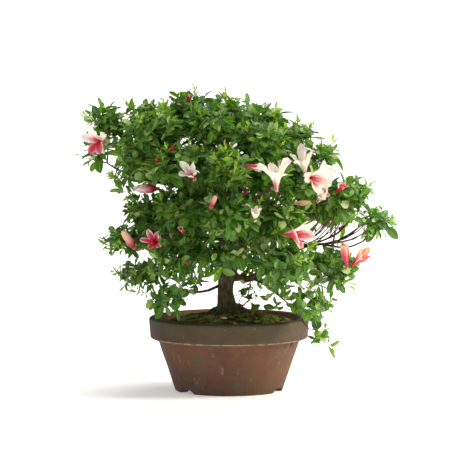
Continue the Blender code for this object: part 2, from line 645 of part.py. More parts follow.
def main():
    clear_scene()
    clay = material("unglazed_stoneware", "7A5340", 0.85)
    net = material("drain_screen_plastic", "2B2E2B", 0.6)
    wire = material("annealed_wire", "8C8F92", 0.4)
    pumice = material("pumice", "B5A892", 0.95)
    earth = material("bonsai_soil", "4A3A28", 0.95)
    moss = material("moss", "3E5220", 0.95)
    stone = material("pebble_quartz", "C9A877", 0.6)
    bark = material("azalea_bark", "4B3F2E", 0.85)
    leaf = material("azalea_leaf", "2F6B1E", 0.45)
    petal = material("azalea_petal", "E9A0A8", 0.5)

    make_pot(clay)
    make_screen(net)
    make_staple(wire)
    make_drainage_layer(pumice)
    routes = wood_routes()
    make_soil(earth, root_cutters(routes, earth))
    make_moss(moss, root_cutters(routes, moss))
    make_pebble(stone)

    limbs = [route for name, route, _, _ in routes if name in LIMBS]
    sprays = spray_shapes()
    for name, (centre, radii) in sprays.items():
        route, sizes = side_branch(centre, radii, limbs)
        routes.append(("branch_" + name, route, sizes, 5))
    bars = [tube(name, route, radii, sides, bark) for name, route, radii, sides in routes]
    combined(bars[0], bars[1:], "UNION").name = "trunk_and_branches"

    obstacles = []
    for _, route, radii, _ in routes:
        knots = list(zip(route, radii))
        obstacles += [(low, high, None) for low, high in zip(knots, knots[1:])]
    scale = FLOWER_SIZE * SPREAD / DRAWN_SPREAD
    for name, (base, facing, mouth, length) in FLOWERS.items():
        base, facing = at(*base), Vector(facing).normalized()
        mouth, length = mouth * MM * scale, length * MM * scale
        make_flower(name, base, facing, mouth, length, petal)
        obstacles.append(((base, FLOWER_NECK), (base + facing * length * FLOWER_LIP, mouth), facing))
    make_sprays(sprays, leaf, obstacles)
    centre_on_origin()


main()
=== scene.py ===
# %% [markdown]
# # A flowering azalea bonsai in a round unglazed pot
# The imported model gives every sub-part its place and size: a turned pot with soil and moss, one
# woody tree, and a plain solid for each spray of leaves and each flower. This lesson keeps those
# places and gives each solid the shape and finish of the real thing.

import math
import random

import bmesh
import bpy
import numpy as np
from mathutils import Matrix, Vector, noise
from mathutils.bvhtree import BVHTree


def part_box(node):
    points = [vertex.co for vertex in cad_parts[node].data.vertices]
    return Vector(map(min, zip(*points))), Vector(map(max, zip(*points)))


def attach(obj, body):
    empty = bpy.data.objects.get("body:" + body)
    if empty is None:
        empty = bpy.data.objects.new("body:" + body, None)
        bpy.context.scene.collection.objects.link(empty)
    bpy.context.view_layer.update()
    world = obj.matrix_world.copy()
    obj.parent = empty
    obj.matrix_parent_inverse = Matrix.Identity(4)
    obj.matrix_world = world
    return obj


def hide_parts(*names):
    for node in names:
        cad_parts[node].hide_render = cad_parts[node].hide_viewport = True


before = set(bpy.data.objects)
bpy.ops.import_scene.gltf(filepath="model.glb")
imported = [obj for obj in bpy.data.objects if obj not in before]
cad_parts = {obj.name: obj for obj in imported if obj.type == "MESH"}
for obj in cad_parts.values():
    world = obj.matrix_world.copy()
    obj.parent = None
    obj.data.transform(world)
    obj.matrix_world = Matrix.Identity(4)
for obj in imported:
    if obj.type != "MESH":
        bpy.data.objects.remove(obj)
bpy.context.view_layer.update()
MM = 0.001

# %% [markdown]
# ## The camera
# The tree is seen from the front, a little above the horizon, through a long lens, which keeps the
# pot's rim a very flat ellipse. A camera several metres away with a narrow view gives the same.
# Everything is placed from the pot's own box, so the camera follows the model if it changes.

# %% Camera
pot_low, pot_high = (Vector(corner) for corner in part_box("pot"))
POT_AXIS = (pot_low + pot_high) / 2
POT_HEIGHT = pot_high.z - pot_low.z
VIEW_WIDTH = 0.6735
CAMERA_DISTANCE = 6.0
CAMERA_ELEVATION = math.radians(4.75)
aim = Vector((POT_AXIS.x - 0.0045, POT_AXIS.y, 0.2457))
camera_data = bpy.data.cameras.new("camera")
camera_data.lens = camera_data.sensor_width * CAMERA_DISTANCE / VIEW_WIDTH
camera_data.clip_end = 80
camera = bpy.data.objects.new("camera", camera_data)
bpy.context.scene.collection.objects.link(camera)
backwards = Vector((0, -math.cos(CAMERA_ELEVATION), math.sin(CAMERA_ELEVATION)))
camera.location = aim + backwards * CAMERA_DISTANCE
camera.rotation_euler = (-backwards).to_track_quat("-Z", "Y").to_euler()
bpy.context.scene.camera = camera
print("the lens is", round(camera_data.lens), "mm long")

# %% [markdown]
# ## Light and floor
# The tree stands on white in even daylight that is strongest from above, from the right and from
# behind, so thin leaves glow where the light comes through them. A sun lamp with a very wide disc
# is as soft as a large window, leaves no hard shadow, and lights the floor as brightly far away as
# near by. A dim white room fills in the rest and keeps the hollows between the leaves dark, and a
# lamp at the side rounds the pot. The Standard view keeps the greens as bright as they are.


# %% Light and floor
def linear(hex_colour):
    """An sRGB hex colour as the linear values that Blender works with."""
    channels = [int(hex_colour[i : i + 2], 16) / 255 for i in (0, 2, 4)]
    return (*[c / 12.92 if c <= 0.04045 else ((c + 0.055) / 1.055) ** 2.4 for c in channels], 1.0)


def soft_lamp(name, kind, place, power, hex_colour, **settings):
    """A lamp that faces the middle of the tree."""
    data = bpy.data.lights.new(name, kind)
    data.energy, data.color = power, linear(hex_colour)[:3]
    for setting, value in settings.items():
        setattr(data, setting, value)
    lamp = bpy.data.objects.new(name, data)
    bpy.context.scene.collection.objects.link(lamp)
    lamp.location = place
    lamp.rotation_euler = (aim - Vector(place)).to_track_quat("-Z", "Y").to_euler()


bpy.context.scene.view_settings.view_transform = "Standard"
world = bpy.data.worlds.new("white_room")
world.use_nodes = True
background = world.node_tree.nodes["Background"]
background.inputs["Color"].default_value = linear("FFFFFF")
background.inputs["Strength"].default_value = 0.42
bpy.context.scene.world = world
SKY_STRENGTH, SKY_WIDTH, SIDE_WATTS, SIDE_SIZE = 2.85, math.radians(48), 54, 0.8
soft_lamp("wide_sky", "SUN", (0.55, 0.35, 2.6), SKY_STRENGTH, "FFFCF4", angle=SKY_WIDTH)
soft_lamp("sun_side", "AREA", (1.9, -0.1, 1.1), SIDE_WATTS, "FFF3DC", size=SIDE_SIZE)

FLOOR_SIZE, FLOOR_GLOW = 90, 0.32  # metres, and how much the white paper gives off by itself
bpy.ops.mesh.primitive_plane_add(size=FLOOR_SIZE, location=(0, 0, 0))
floor = bpy.context.object
floor.name = "floor"
paper = bpy.data.materials.new("white_light_table")
paper.use_nodes = True
paper_values = {"Roughness": 0.9, "Emission Strength": FLOOR_GLOW}
paper_values.update({"Base Color": linear("FFFFFF"), "Emission Color": linear("FFFFFF")})
for socket, value in paper_values.items():
    paper.node_tree.nodes["Principled BSDF"].inputs[socket].default_value = value
floor.data.materials.append(paper)

# %% [markdown]
# ## Helpers for materials and pieces
# Every finish is a small node tree. One function adds a node, sets what it is told and links what
# it is given, and short ones stand for the nodes that every finish needs: a sum, a blend of two
# colours, a stretched range, noise and bump. Others start and end a Geometry Nodes tree, run it
# once and keep its result as a plain mesh, and make a piece of a mesh.


# %% Helpers
def add_node(tree, kind, inputs=None, **settings):
    """Adds a node. An input's value is a number, a colour or another node's output."""
    node = tree.nodes.new(kind)
    for name, value in settings.items():
        setattr(node, name, value)
    for name, value in (inputs or {}).items():
        if isinstance(value, bpy.types.NodeSocket):
            tree.links.new(value, node.inputs[name])
        else:
            node.inputs[name].default_value = value
    return node


def new_finish(name, roughness, **shader_values):
    """A material with its tree, its Principled shader and its Object coordinates."""
    finish = bpy.data.materials.new(name)
    finish.use_nodes = True
    tree = finish.node_tree
    shader = tree.nodes["Principled BSDF"]
    shader.inputs["Roughness"].default_value = roughness
    for socket, value in shader_values.items():
        shader.inputs[socket.replace("_", " ")].default_value = value
    place = add_node(tree, "ShaderNodeTexCoord").outputs["Object"]
    return finish, tree, shader, place


def tree_of(*values):
    """The node tree that an output among some values belongs to."""
    return next(value.id_data for value in values if isinstance(value, bpy.types.NodeSocket))


def compute(operation, *values):
    """The result of a Math node."""
    inputs = dict(enumerate(values))
    return add_node(tree_of(*values), "ShaderNodeMath", inputs, operation=operation).outputs[0]


def blend(share, first, second):
    """A colour between two colours, each a hex value or an output."""
    first = linear(first) if isinstance(first, str) else first
    second = linear(second) if isinstance(second, str) else second
    inputs = {0: share, 6: first, 7: second}
    return add_node(share.id_data, "ShaderNodeMix", inputs, data_type="RGBA").outputs[2]


def stretch(value, low, high, to_low=0.0, to_high=1.0):
    """A value moved from one range to another, and kept inside it."""
    inputs = {"Value": value, 1: low, 2: high, 3: to_low, 4: to_high}
    return add_node(value.id_data, "ShaderNodeMapRange", inputs).outputs["Result"]


def cloud(place, size_mm, detail=3.0, rough=0.55):
    """Noise whose lumps are about size_mm across."""
    inputs = {"Vector": place, "Scale": 1000 / size_mm, "Detail": detail, "Roughness": rough}
    return add_node(place.id_data, "ShaderNodeTexNoise", inputs).outputs["Fac"]


def streaky(place, scale):
    """Coordinates that draw a pattern out along an axis."""
    return add_node(place.id_data, "ShaderNodeMapping", {"Vector": place, "Scale": scale}).outputs[0]


def distance(place, other):
    """How far two places are apart."""
    inputs = {0: place, 1: other}
    return add_node(
        place.id_data, "ShaderNodeVectorMath", inputs, operation="DISTANCE"
    ).outputs["Value"]


def attribute(tree, name):
    """A number that the mesh stores for each of its points."""
    return add_node(tree, "ShaderNodeAttribute", attribute_name=name).outputs["Fac"]


def paint(shader, colour):
    """Links a colour to a shader."""
    shader.id_data.links.new(colour, shader.inputs["Base Color"])


def bump(shader, height, depth_mm):
    """Bump of a real depth from a height between 0 and 1."""
    inputs = {"Height": height, "Distance": depth_mm * MM, "Strength": 1.0}
    if shader.inputs["Normal"].is_linked:
        inputs["Normal"] = shader.inputs["Normal"].links[0].from_socket
    raised = add_node(shader.id_data, "ShaderNodeBump", inputs).outputs["Normal"]
    shader.id_data.links.new(raised, shader.inputs["Normal"])


def let_light_through(shader, colour, share):
    """Mixes a translucent skin into a thin sheet's shader."""
    tree = shader.id_data
    glow = add_node(tree, "ShaderNodeBsdfTranslucent", {"Color": colour})
    both = add_node(tree, "ShaderNodeMixShader", {0: share, 1: shader.outputs[0], 2: glow.outputs[0]})
    tree.links.new(both.outputs[0], tree.nodes["Material Output"].inputs["Surface"])


def from_middle(uv):
    """How far a leaf's or petal's UV point is from its midline, and how far out it is."""
    parts = add_node(uv.id_data, "ShaderNodeSeparateXYZ", {0: uv})
    return compute("ABSOLUTE", compute("SUBTRACT", parts.outputs["X"], 0.5)), parts.outputs["Y"]


def piece(name, mesh, finishes, replaced=(), smooth=True):
    """A finished piece: an object at the origin that rides with the tree."""
    made = bpy.data.objects.new(name, mesh)
    bpy.context.scene.collection.objects.link(made)
    mesh.materials.clear()
    for finish in finishes:
        mesh.materials.append(finish)
    if smooth:
        mesh.shade_smooth()
    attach(made, "root")
    if replaced:
        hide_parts(*replaced)
    return made


def new_grower(name, inputs):
    """An empty Geometry Nodes tree, the sockets of its named inputs, and its output node."""
    tree = bpy.data.node_groups.new(name, "GeometryNodeTree")
    tree.interface.new_socket("Geometry", in_out="INPUT", socket_type="NodeSocketGeometry")
    for input_name, kind in inputs.items():
        tree.interface.new_socket(input_name, in_out="INPUT", socket_type="NodeSocket" + kind)
    tree.interface.new_socket("Geometry", in_out="OUTPUT", socket_type="NodeSocketGeometry")
    return tree, add_node(tree, "NodeGroupInput").outputs, add_node(tree, "NodeGroupOutput")


def stored(tree, name, kind="FLOAT"):
    """An attribute that the geometry brings into a tree."""
    node = add_node(tree, "GeometryNodeInputNamedAttribute", {"Name": name}, data_type=kind)
    return node.outputs["Attribute"]


def with_value(geometry, name, value, domain):
    """The geometry with a number stored on each of its points or instances."""
    inputs = {"Geometry": geometry, "Name": name, "Value": value}
    kind = "GeometryNodeStoreNamedAttribute"
    return add_node(geometry.id_data, kind, inputs, data_type="FLOAT", domain=domain).outputs[0]


def random_vector(tree, low, high, seed):
    inputs = {"Min": low, "Max": high, "Seed": seed}
    return add_node(tree, "FunctionNodeRandomValue", inputs, data_type="FLOAT_VECTOR").outputs[0]


def random_number(tree, seed, low=0.0, high=1.0):
    inputs = {2: low, 3: high, "Seed": seed}
    return add_node(tree, "FunctionNodeRandomValue", inputs, data_type="FLOAT").outputs[1]


def scaled(vector, factor):
    inputs = {0: vector, "Scale": factor}
    return add_node(vector.id_data, "ShaderNodeVectorMath", inputs, operation="SCALE").outputs[0]


def end_grower(geometry, given, group_out):
    """Ends a tree: the instances are made real and get their finish."""
    tree = geometry.id_data
    real = add_node(tree, "GeometryNodeRealizeInstances", {0: geometry}).outputs[0]
    inputs = {"Geometry": real, "Material": given["Finish"]}
    tree.links.new(add_node(tree, "GeometryNodeSetMaterial", inputs).outputs[0], group_out.inputs[0])


def grown(tree, carrier_mesh, **values):
    """The plain mesh that a tree makes of a carrier mesh."""
    carrier = bpy.data.objects.new("carrier", carrier_mesh)
    bpy.context.scene.collection.objects.link(carrier)
    modifier = carrier.modifiers.new(tree.name, "NODES")
    modifier.node_group = tree
    for item in tree.interface.items_tree:
        if item.in_out == "INPUT" and item.name.replace(" ", "_") in values:
            modifier[item.identifier] = values[item.name.replace(" ", "_")]
    graph = bpy.context.evaluated_depsgraph_get()
    mesh = bpy.data.meshes.new_from_object(carrier.evaluated_get(graph))
    bpy.data.objects.remove(carrier)
    return mesh


def points_mesh(name, places, **attributes):
    """A mesh of loose points, each with its attributes, for a tree to grow something on."""
    mesh = bpy.data.meshes.new(name)
    mesh.from_pydata([tuple(p) for p in places], [], [])
    store(mesh, **attributes)
    return mesh


def joined(name, meshes):
    """One mesh of several, with their UV maps and attributes."""
    bm = bmesh.new()
    for mesh in meshes:
        bm.from_mesh(mesh)
    made = bpy.data.meshes.new(name)
    bm.to_mesh(made)
    bm.free()
    return made


def store(mesh, **attributes):
    """Stores lists of numbers or vectors as attributes of a mesh's points."""
    for name, values in attributes.items():
        values = np.asarray(values, dtype=np.float32)
        kind, key = ("FLOAT_VECTOR", "vector") if values.ndim == 2 else ("FLOAT", "value")
        mesh.attributes.new(name, kind, "POINT").data.foreach_set(key, values.ravel())


# %% [markdown]
# ## Unglazed stoneware
# The pot is red-brown clay fired without a glaze: matte, with cloudy patches where the flame and
# the kiln's ash touched it, darker and greener on the band that stays damp, and with a pale lime
# line where water dries below the band. Height and noise decide which of those shows, and a fine
# grain and broader shallow lumps make the surface.

# %% Unglazed stoneware
BAND_BOTTOM = pot_high.z - 0.031
CHIP = Vector((0.0932, -0.0490, 0.0735))  # a flake has come off the wall just under the band
CHIP_SIZE = 0.0044
LIME_HALF_WIDTH = 0.0008
stoneware, tree, shader, place = new_finish("unglazed_red_stoneware", 0.82)
height = add_node(tree, "ShaderNodeSeparateXYZ", {0: place}).outputs["Z"]
patches = stretch(cloud(place, 60, 4.0, 0.6), 0.36, 0.62)
clay = blend(patches, "522F1D", "69442D")
ash = stretch(cloud(place, 26, 5.0, 0.65), 0.50, 0.66)
clay = blend(ash, clay, "574936")
runs = streaky(place, (1.0, 1.0, 0.30))
smear = stretch(cloud(runs, 9, 3.0), 0.62, 0.74, 0.0, 0.45)
clay = blend(smear, clay, "8E7B66")
# The clay is darker towards the foot, over the lowest 45 mm.
darker_towards_foot = stretch(height, 0.0, 0.045, 0.55, 0.0)
clay = blend(darker_towards_foot, clay, "4E3826")
damp = stretch(cloud(place, 34, 4.0), 0.35, 0.66)
band_colour = blend(damp, "413325", "53422D")
near_rim = stretch(height, pot_high.z - 0.016, pot_high.z)
moss_film = compute("MULTIPLY", near_rim, stretch(cloud(place, 14, 5.0), 0.34, 0.6))
band_colour = blend(moss_film, band_colour, "3B3C20")
on_band = stretch(height, BAND_BOTTOM - 0.0004, BAND_BOTTOM + 0.0022)
inputs = {0: place, 1: (1, 1, 0)}
flat = add_node(tree, "ShaderNodeVectorMath", inputs, operation="MULTIPLY").outputs[0]
from_axis = distance(flat, (POT_AXIS.x, POT_AXIS.y, 0))
inner_edge = (pot_high.x - pot_low.x) / 2 - 0.0118
lip = stretch(height, POT_HEIGHT - 0.0040, POT_HEIGHT - 0.0008, 0.0, 0.72)
band_colour = blend(lip, band_colour, "2B2C24")
# The inner wall of the rim is painted a lighter, redder clay: painted light, standing in for daylight
# from the right falling into the pot.
inside = stretch(from_axis, inner_edge, inner_edge + 0.002, 0.85, 0.0)
band_colour = blend(inside, band_colour, "96684F")
body = blend(on_band, clay, band_colour)
lime_line = compute("COMPARE", height, BAND_BOTTOM + 0.0006, LIME_HALF_WIDTH)
lime_share = compute("MULTIPLY", lime_line, stretch(cloud(place, 9), 0.36, 0.60, 0.08, 0.55))
body = blend(lime_share, body, "B7A78A")
# The chip's hollow is painted nearly black: painted shade in the hollow under the band.
from_chip = distance(place, Vector((POT_AXIS.x, POT_AXIS.y, 0)) + CHIP)
ragged = stretch(cloud(place, 2.5, 3.0), 0.3, 0.7, -0.0016, 0.0016)
from_chip = compute("ADD", from_chip, ragged)
body = blend(stretch(from_chip, 0.6 * CHIP_SIZE, CHIP_SIZE, 0.9, 0.0), body, "1E1610")
spots = stretch(cloud(place, 7, 2.0), 0.7, 0.78, 0.0, 0.35)
body = blend(spots, body, "9C9377")
grain = cloud(place, 1.1, 3.0, 0.7)
body = blend(stretch(grain, 0.3, 0.7, 0.0, 0.18), body, "2E2018")
paint(shader, body)
tree.links.new(stretch(patches, 0, 1, 0.74, 0.9), shader.inputs["Roughness"])
bump(shader, grain, 0.25)
bump(shader, cloud(place, 5, 3.0), 0.5)
print("stoneware has", len(tree.nodes), "nodes")

# %% [markdown]
# ## The pot
# A potter turns the wall, folds a heavy band at the rim and cuts three notches in the foot ring.
# The CAD pot has all of that, in flat facets. A finer copy is turned here from the same profile,
# with arcs at its edges, then pushed in and out by a fraction of a millimetre as hand-turned clay
# is, with small chips along the band's lower edge.


# %% Pot
def arc_at(corner, before, after, radius, steps=4):
    """Points of a fillet at a profile's corner."""
    corner, before, after = Vector(corner), Vector(before), Vector(after)
    to_before, to_after = (before - corner).normalized(), (after - corner).normalized()
    back = radius / math.tan(to_before.angle(to_after) / 2)
    back = min(back, 0.45 * (before - corner).length, 0.45 * (after - corner).length)
    start, end = corner + to_before * back, corner + to_after * back
    shares = [i / steps for i in range(steps + 1)]
    return [(1 - t) ** 2 * start + 2 * t * (1 - t) * corner + t * t * end for t in shares]


def lathe(profile, turns):
    """A closed mesh turned about Z from a closed profile of (radius, height)."""
    bm = bmesh.new()
    rings = []
    for k in range(turns):
        a = math.tau * k / turns
        rings.append([bm.verts.new((r * math.cos(a), r * math.sin(a), z)) for r, z in profile])
    for k in range(turns):
        here, there = rings[k], rings[(k + 1) % turns]
        for i in range(len(profile)):
            j = (i + 1) % len(profile)
            bm.faces.new((here[i], there[i], there[j], here[j]))
    bmesh.ops.recalc_face_normals(bm, faces=bm.faces)
    return bm


def spread_points(points, longest):
    """Adds points to a closed profile until none are further apart than longest."""
    spread = []
    for a, b in zip(points, points[1:] + points[:1]):
        count = max(1, math.ceil((b - a).length / longest))
        spread += [a.lerp(b, i / count) for i in range(count)]
    return spread


NOTCH_TURN = math.radians(67)
NOTCH_EDGE = [(0.0190, -0.003), (0.0160, 0.0030), (0.0125, 0.0058), (0.0080, 0.0066)]
RIM_RADIUS = max(pot_high.x - pot_low.x, pot_high.y - pot_low.y) / 2
BASE_RADIUS, FOOT_WIDTH, FOOT_HEIGHT = 0.080, 0.014, 0.007
FLOOR_TOP, DRAIN_RADIUS = 0.016, 0.015
INNER_RIM_RADIUS, INNER_FLOOR_RADIUS = RIM_RADIUS - 0.0125, BASE_RADIUS - 0.009
corners = [
    (DRAIN_RADIUS, FOOT_HEIGHT, 0.001),
    (BASE_RADIUS - FOOT_WIDTH - 0.003, FOOT_HEIGHT, 0.001),
    (BASE_RADIUS - FOOT_WIDTH, 0, 0.001),
    (BASE_RADIUS, 0, 0.003),
    (RIM_RADIUS - 0.014, BAND_BOTTOM - 0.003, 0.002),
    (RIM_RADIUS - 0.002, BAND_BOTTOM, 0.0045),
    (RIM_RADIUS, POT_HEIGHT, 0.0042),
    (INNER_RIM_RADIUS, POT_HEIGHT, 0.003),
    (INNER_FLOOR_RADIUS, FLOOR_TOP, 0.006),
    (DRAIN_RADIUS, FLOOR_TOP, 0.001),
]
profile = []
for i, (radius, level, fillet) in enumerate(corners):
    before, after = corners[i - 1][:2], corners[(i + 1) % len(corners)][:2]
    profile += arc_at((radius, level), before, after, fillet)
profile = spread_points(profile, 0.005)
bm = lathe([(p.x, p.y) for p in profile], 180)
cutter_mesh = bpy.data.meshes.new("notch")
notches = bmesh.new()
for k in range(3):
    turn = NOTCH_TURN + k * math.tau / 3
    outline = [(-w, h) for w, h in NOTCH_EDGE] + [(w, h) for w, h in reversed(NOTCH_EDGE)]
    near = [notches.verts.new((x, -BASE_RADIUS + FOOT_WIDTH * 1.6, z)) for x, z in outline]
    far = [notches.verts.new((x, -BASE_RADIUS - 0.012, z)) for x, z in outline]
    for i in range(len(outline)):
        j = (i + 1) % len(outline)
        notches.faces.new((near[i], near[j], far[j], far[i]))
    notches.faces.new(near)
    notches.faces.new(far)
    bmesh.ops.rotate(notches, verts=near + far, cent=(0, 0, 0), matrix=Matrix.Rotation(turn, 3, "Z"))
bmesh.ops.recalc_face_normals(notches, faces=notches.faces)
notches.to_mesh(cutter_mesh)
pot_mesh = bpy.data.meshes.new("pot_body")
bm.to_mesh(pot_mesh)
turned_pot = bpy.data.objects.new("turned_pot", pot_mesh)
cutter = bpy.data.objects.new("cutter", cutter_mesh)
for helper in (turned_pot, cutter):
    bpy.context.scene.collection.objects.link(helper)
cut = turned_pot.modifiers.new("notches", "BOOLEAN")
cut.operation, cut.object, cut.solver = "DIFFERENCE", cutter, "EXACT"
graph = bpy.context.evaluated_depsgraph_get()
pot_mesh = bpy.data.meshes.new_from_object(turned_pot.evaluated_get(graph))
for helper in (turned_pot, cutter):
    bpy.data.objects.remove(helper)

for v in pot_mesh.vertices:
    out = Vector((v.co.x, v.co.y, 0)).normalized()
    wobble = noise.noise(Vector((v.co.x, v.co.y, v.co.z * 2.5)) / 0.06) * 0.0005
    edge = math.exp(-(((v.co.z - BAND_BOTTOM) / 0.0022) ** 2)) if v.co.length > 0.1 else 0
    chip = max(0, noise.noise(Vector(v.co) / 0.011) - 0.42) * 0.004 * edge
    flake = 0.0018 * max(0, 1 - (v.co - CHIP).length / (CHIP_SIZE * 1.6))
    v.co += out * (wobble - chip - flake) if v.co.z > 0.001 else out * wobble
    v.co += Vector((POT_AXIS.x, POT_AXIS.y, 0))
piece("pot_body", pot_mesh, [stoneware], ["pot"])
pot_mesh.set_sharp_from_angle(angle=math.radians(42))
print("the pot has", len(pot_mesh.polygons), "faces")

# %% [markdown]
# ## What drains the pot
# A plastic net and a wire staple keep the soil in, under a layer of pumice. They are hidden, but
# the CAD solids are right as they are, so each only gets its finish: moulded plastic with a faint
# grain, annealed wire with drawing marks, and pumice full of pores.

# %% Net, staple and pumice
net_plastic, tree, shader, place = new_finish("black_polyethylene_net", 0.55)
paint(shader, blend(cloud(place, 3), "1C1F1C", "343833"))
bump(shader, cloud(place, 0.6), 0.05)

wire_finish, tree, shader, place = new_finish("annealed_aluminium_wire", 0.38, Metallic=1.0)
drawn = streaky(place, (0.05, 1.0, 1.0))
paint(shader, blend(cloud(drawn, 0.5), "7C7F82", "A2A5A8"))
bump(shader, cloud(drawn, 0.3), 0.03)

pumice, tree, shader, place = new_finish("crushed_pumice", 0.95)
pores = add_node(tree, "ShaderNodeTexVoronoi", {"Vector": place, "Scale": 1000 / 5}).outputs["Distance"]
paint(shader, blend(stretch(pores, 0.0, 0.5), "6E6455", "C9BEA8"))
bump(shader, pores, 1.5)

for node, finish in (
    ("drain_screen", net_plastic), ("screen_staple", wire_finish), ("drainage_layer", pumice)
):
    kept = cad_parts[node]
    kept.data.materials.clear()
    kept.data.materials.append(finish)
print("finished the net, the staple and the pumice")

# %% [markdown]
# ## Soil
# Azalea soil is small hard grains of pale and dark clay, two to four millimetres across. Only the
# top shows, in a ring round the moss. The bed is a low mound with a rough top, and Geometry Nodes
# scatter a few thousand grains on it, from three lumpy shapes with few faces.

# %% Soil finish and bed
soil_finish, tree, shader, place = new_finish("damp_clay_grains", 0.93)
grain_cell = add_node(tree, "ShaderNodeTexVoronoi", {"Vector": place, "Scale": 1000 / 3}, feature="F1")
earth_share = stretch(cloud(place, 9), 0.35, 0.65)
earth = blend(earth_share, "43392A", "7A6549")
earth = blend(stretch(cloud(place, 30), 0.5, 0.7, 0.0, 0.6), earth, "4A5527")
paint(shader, earth)
bump(shader, grain_cell.outputs["Distance"], 0.8)

soil_low, soil_high = (Vector(corner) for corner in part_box("soil"))
SOIL_EDGE_RADIUS = (soil_high.x - soil_low.x) / 2
SOIL_TOP = soil_high.z
MOUND = 0.013
SOIL_EDGE = POT_HEIGHT - 0.010


def mound(radius):
    """The soil's height at a distance from the pot's axis."""
    return SOIL_EDGE + MOUND * (1 - min(radius / SOIL_EDGE_RADIUS, 1) ** 1.4)


def bed_mesh(name, reach, height_at, depth_at, rings=40, turns=150):
    """A closed round cushion: its top follows height_at and its underside lies depth_at lower."""
    bm = bmesh.new()
    sheets = []
    for under in (False, True):
        centre = bm.verts.new((0, 0, height_at(0, 0, 0) - (depth_at(0) if under else 0)))
        sheet = [[centre] * turns]
        for i in range(1, rings + 1):
            ring = []
            for k in range(turns):
                a = math.tau * k / turns
                radius = reach(a) * i / rings
                x, y = radius * math.cos(a), radius * math.sin(a)
                drop = depth_at(radius) if under else 0
                ring.append(bm.verts.new((x, y, height_at(x, y, i / rings) - drop)))
            sheet.append(ring)
        sheets.append(sheet)
    for sheet in sheets:
        for i in range(rings):
            for k in range(turns):
                j = (k + 1) % turns
                corners = [sheet[i][k], sheet[i + 1][k], sheet[i + 1][j], sheet[i][j]]
                bm.faces.new(corners if i else corners[:3])
    for k in range(turns):
        j = (k + 1) % turns
        bm.faces.new(
            (sheets[0][rings][k], sheets[0][rings][j], sheets[1][rings][j], sheets[1][rings][k])
        )
    bmesh.ops.recalc_face_normals(bm, faces=bm.faces)
    bmesh.ops.translate(bm, verts=bm.verts, vec=(POT_AXIS.x, POT_AXIS.y, 0))
    mesh = bpy.data.meshes.new(name)
    bm.to_mesh(mesh)
    return mesh


def rough_soil(x, y, share):
    rough = noise.noise(
        Vector((x, y, 0)) / 0.004
    ) * 0.0007 + noise.noise(Vector((x, y, 3)) / 0.018) * 0.001
    return mound(math.hypot(x, y)) + rough - 0.0006


soil_mesh = bed_mesh("soil_bed", lambda a: SOIL_EDGE_RADIUS - 0.0008, rough_soil, lambda r: 0.012)
piece("soil_bed", soil_mesh, [soil_finish], ["soil"])
print("the soil's top is", round(SOIL_TOP / MM), "mm up")

# %% [markdown]
# ## Grains and moss tufts
# One tree scatters both. It spreads points over the faces of a bed, keeps those where a stored
# weight is high, and puts one shape from a small collection on each, turned at random. For the
# grains the shapes are lumps. For the moss they are tufts of seven short blades.


# %% Scatter tree
def shape_collection(name, meshes):
    """A collection of source shapes for a scatter. It is linked to nothing, so it never shows."""
    shapes = bpy.data.collections.new(name)
    for i, mesh in enumerate(meshes):
        shapes.objects.link(bpy.data.objects.new(f"{name}_{i}", mesh))
    return shapes


inputs = {"Shapes": "Collection", "Density": "Float", "Smallest": "Float", "Largest": "Float"}
inputs.update({"Upright": "Bool", "Seed": "Int", "Finish": "Material"})
scatter, given, group_out = new_grower("scatter", inputs)
density = compute("MULTIPLY", given["Density"], stored(scatter, "weight"))
inputs = {"Mesh": given["Geometry"], "Density": density, "Seed": given["Seed"]}
spread = add_node(scatter, "GeometryNodeDistributePointsOnFaces", inputs).outputs["Points"]
any_turn = random_vector(scatter, (0, 0, 0), (math.tau, math.tau, math.tau), given["Seed"])
spin = random_vector(scatter, (-0.5, -0.5, 0), (0.5, 0.5, math.tau), given["Seed"])
inputs = {"Switch": given["Upright"], "False": any_turn, "True": spin}
turn = add_node(scatter, "GeometryNodeSwitch", inputs, input_type="VECTOR").outputs[0]
size = random_number(scatter, given["Seed"], given["Smallest"], given["Largest"])
inputs = {"Collection": given["Shapes"], "Separate Children": True, "Reset Children": True}
source = add_node(scatter, "GeometryNodeCollectionInfo", inputs).outputs[0]
inputs = {"Points": spread, "Instance": source, "Pick Instance": True, "Rotation": turn, "Scale": size}
placed = add_node(scatter, "GeometryNodeInstanceOnPoints", inputs).outputs[0]
end_grower(with_value(placed, "tone", random_number(scatter, 77), "INSTANCE"), given, group_out)
print("the scatter tree has", len(scatter.nodes), "nodes")


# %% Grains
def lump_mesh(seed, detail=1):
    """A rounded stone about one unit across, with few faces."""
    bm = bmesh.new()
    bmesh.ops.create_icosphere(bm, subdivisions=detail, radius=0.5)
    for v in bm.verts:
        v.co *= 1 + 0.45 * noise.noise(v.co * 2.3 + Vector((seed, 0, 0)))
        v.co.z *= 0.78
    mesh = bpy.data.meshes.new(f"lump_{seed}")
    bm.to_mesh(mesh)
    return mesh


def top_faces(mesh, weigh):
    """The upward faces of a bed, with a weight at each point for the scatter."""
    bm = bmesh.new()
    bm.from_mesh(mesh)
    bmesh.ops.delete(bm, geom=[f for f in bm.faces if f.normal.z < 0.5], context="FACES")
    top = bpy.data.meshes.new("top")
    bm.to_mesh(top)
    store(top, weight=[weigh(v.co) for v in top.vertices])
    return top


grain_finish, tree, shader, place = new_finish("fired_clay_grain", 0.9)
own_tone = attribute(tree, "tone")
grain_colour = blend(stretch(own_tone, 0, 0.7), "4A3D29", "947A57")
grain_colour = blend(stretch(own_tone, 0.86, 0.95), grain_colour, "C2AC84")
grain_colour = blend(stretch(cloud(place, 22), 0.45, 0.65, 0.0, 0.7), grain_colour, "4E5C29")
paint(shader, grain_colour)
bump(shader, cloud(place, 0.7), 0.2)
grains = grown(
    scatter, top_faces(soil_mesh, lambda co: 1.0),
    Shapes=shape_collection("grain", [lump_mesh(i) for i in range(3)]),
    Density=90000.0, Smallest=0.0016, Largest=0.0036, Upright=False, Seed=4, Finish=grain_finish,
)
piece("soil_grains", grains, [grain_finish], smooth=False)
print("grains:", len(grains.polygons), "faces")
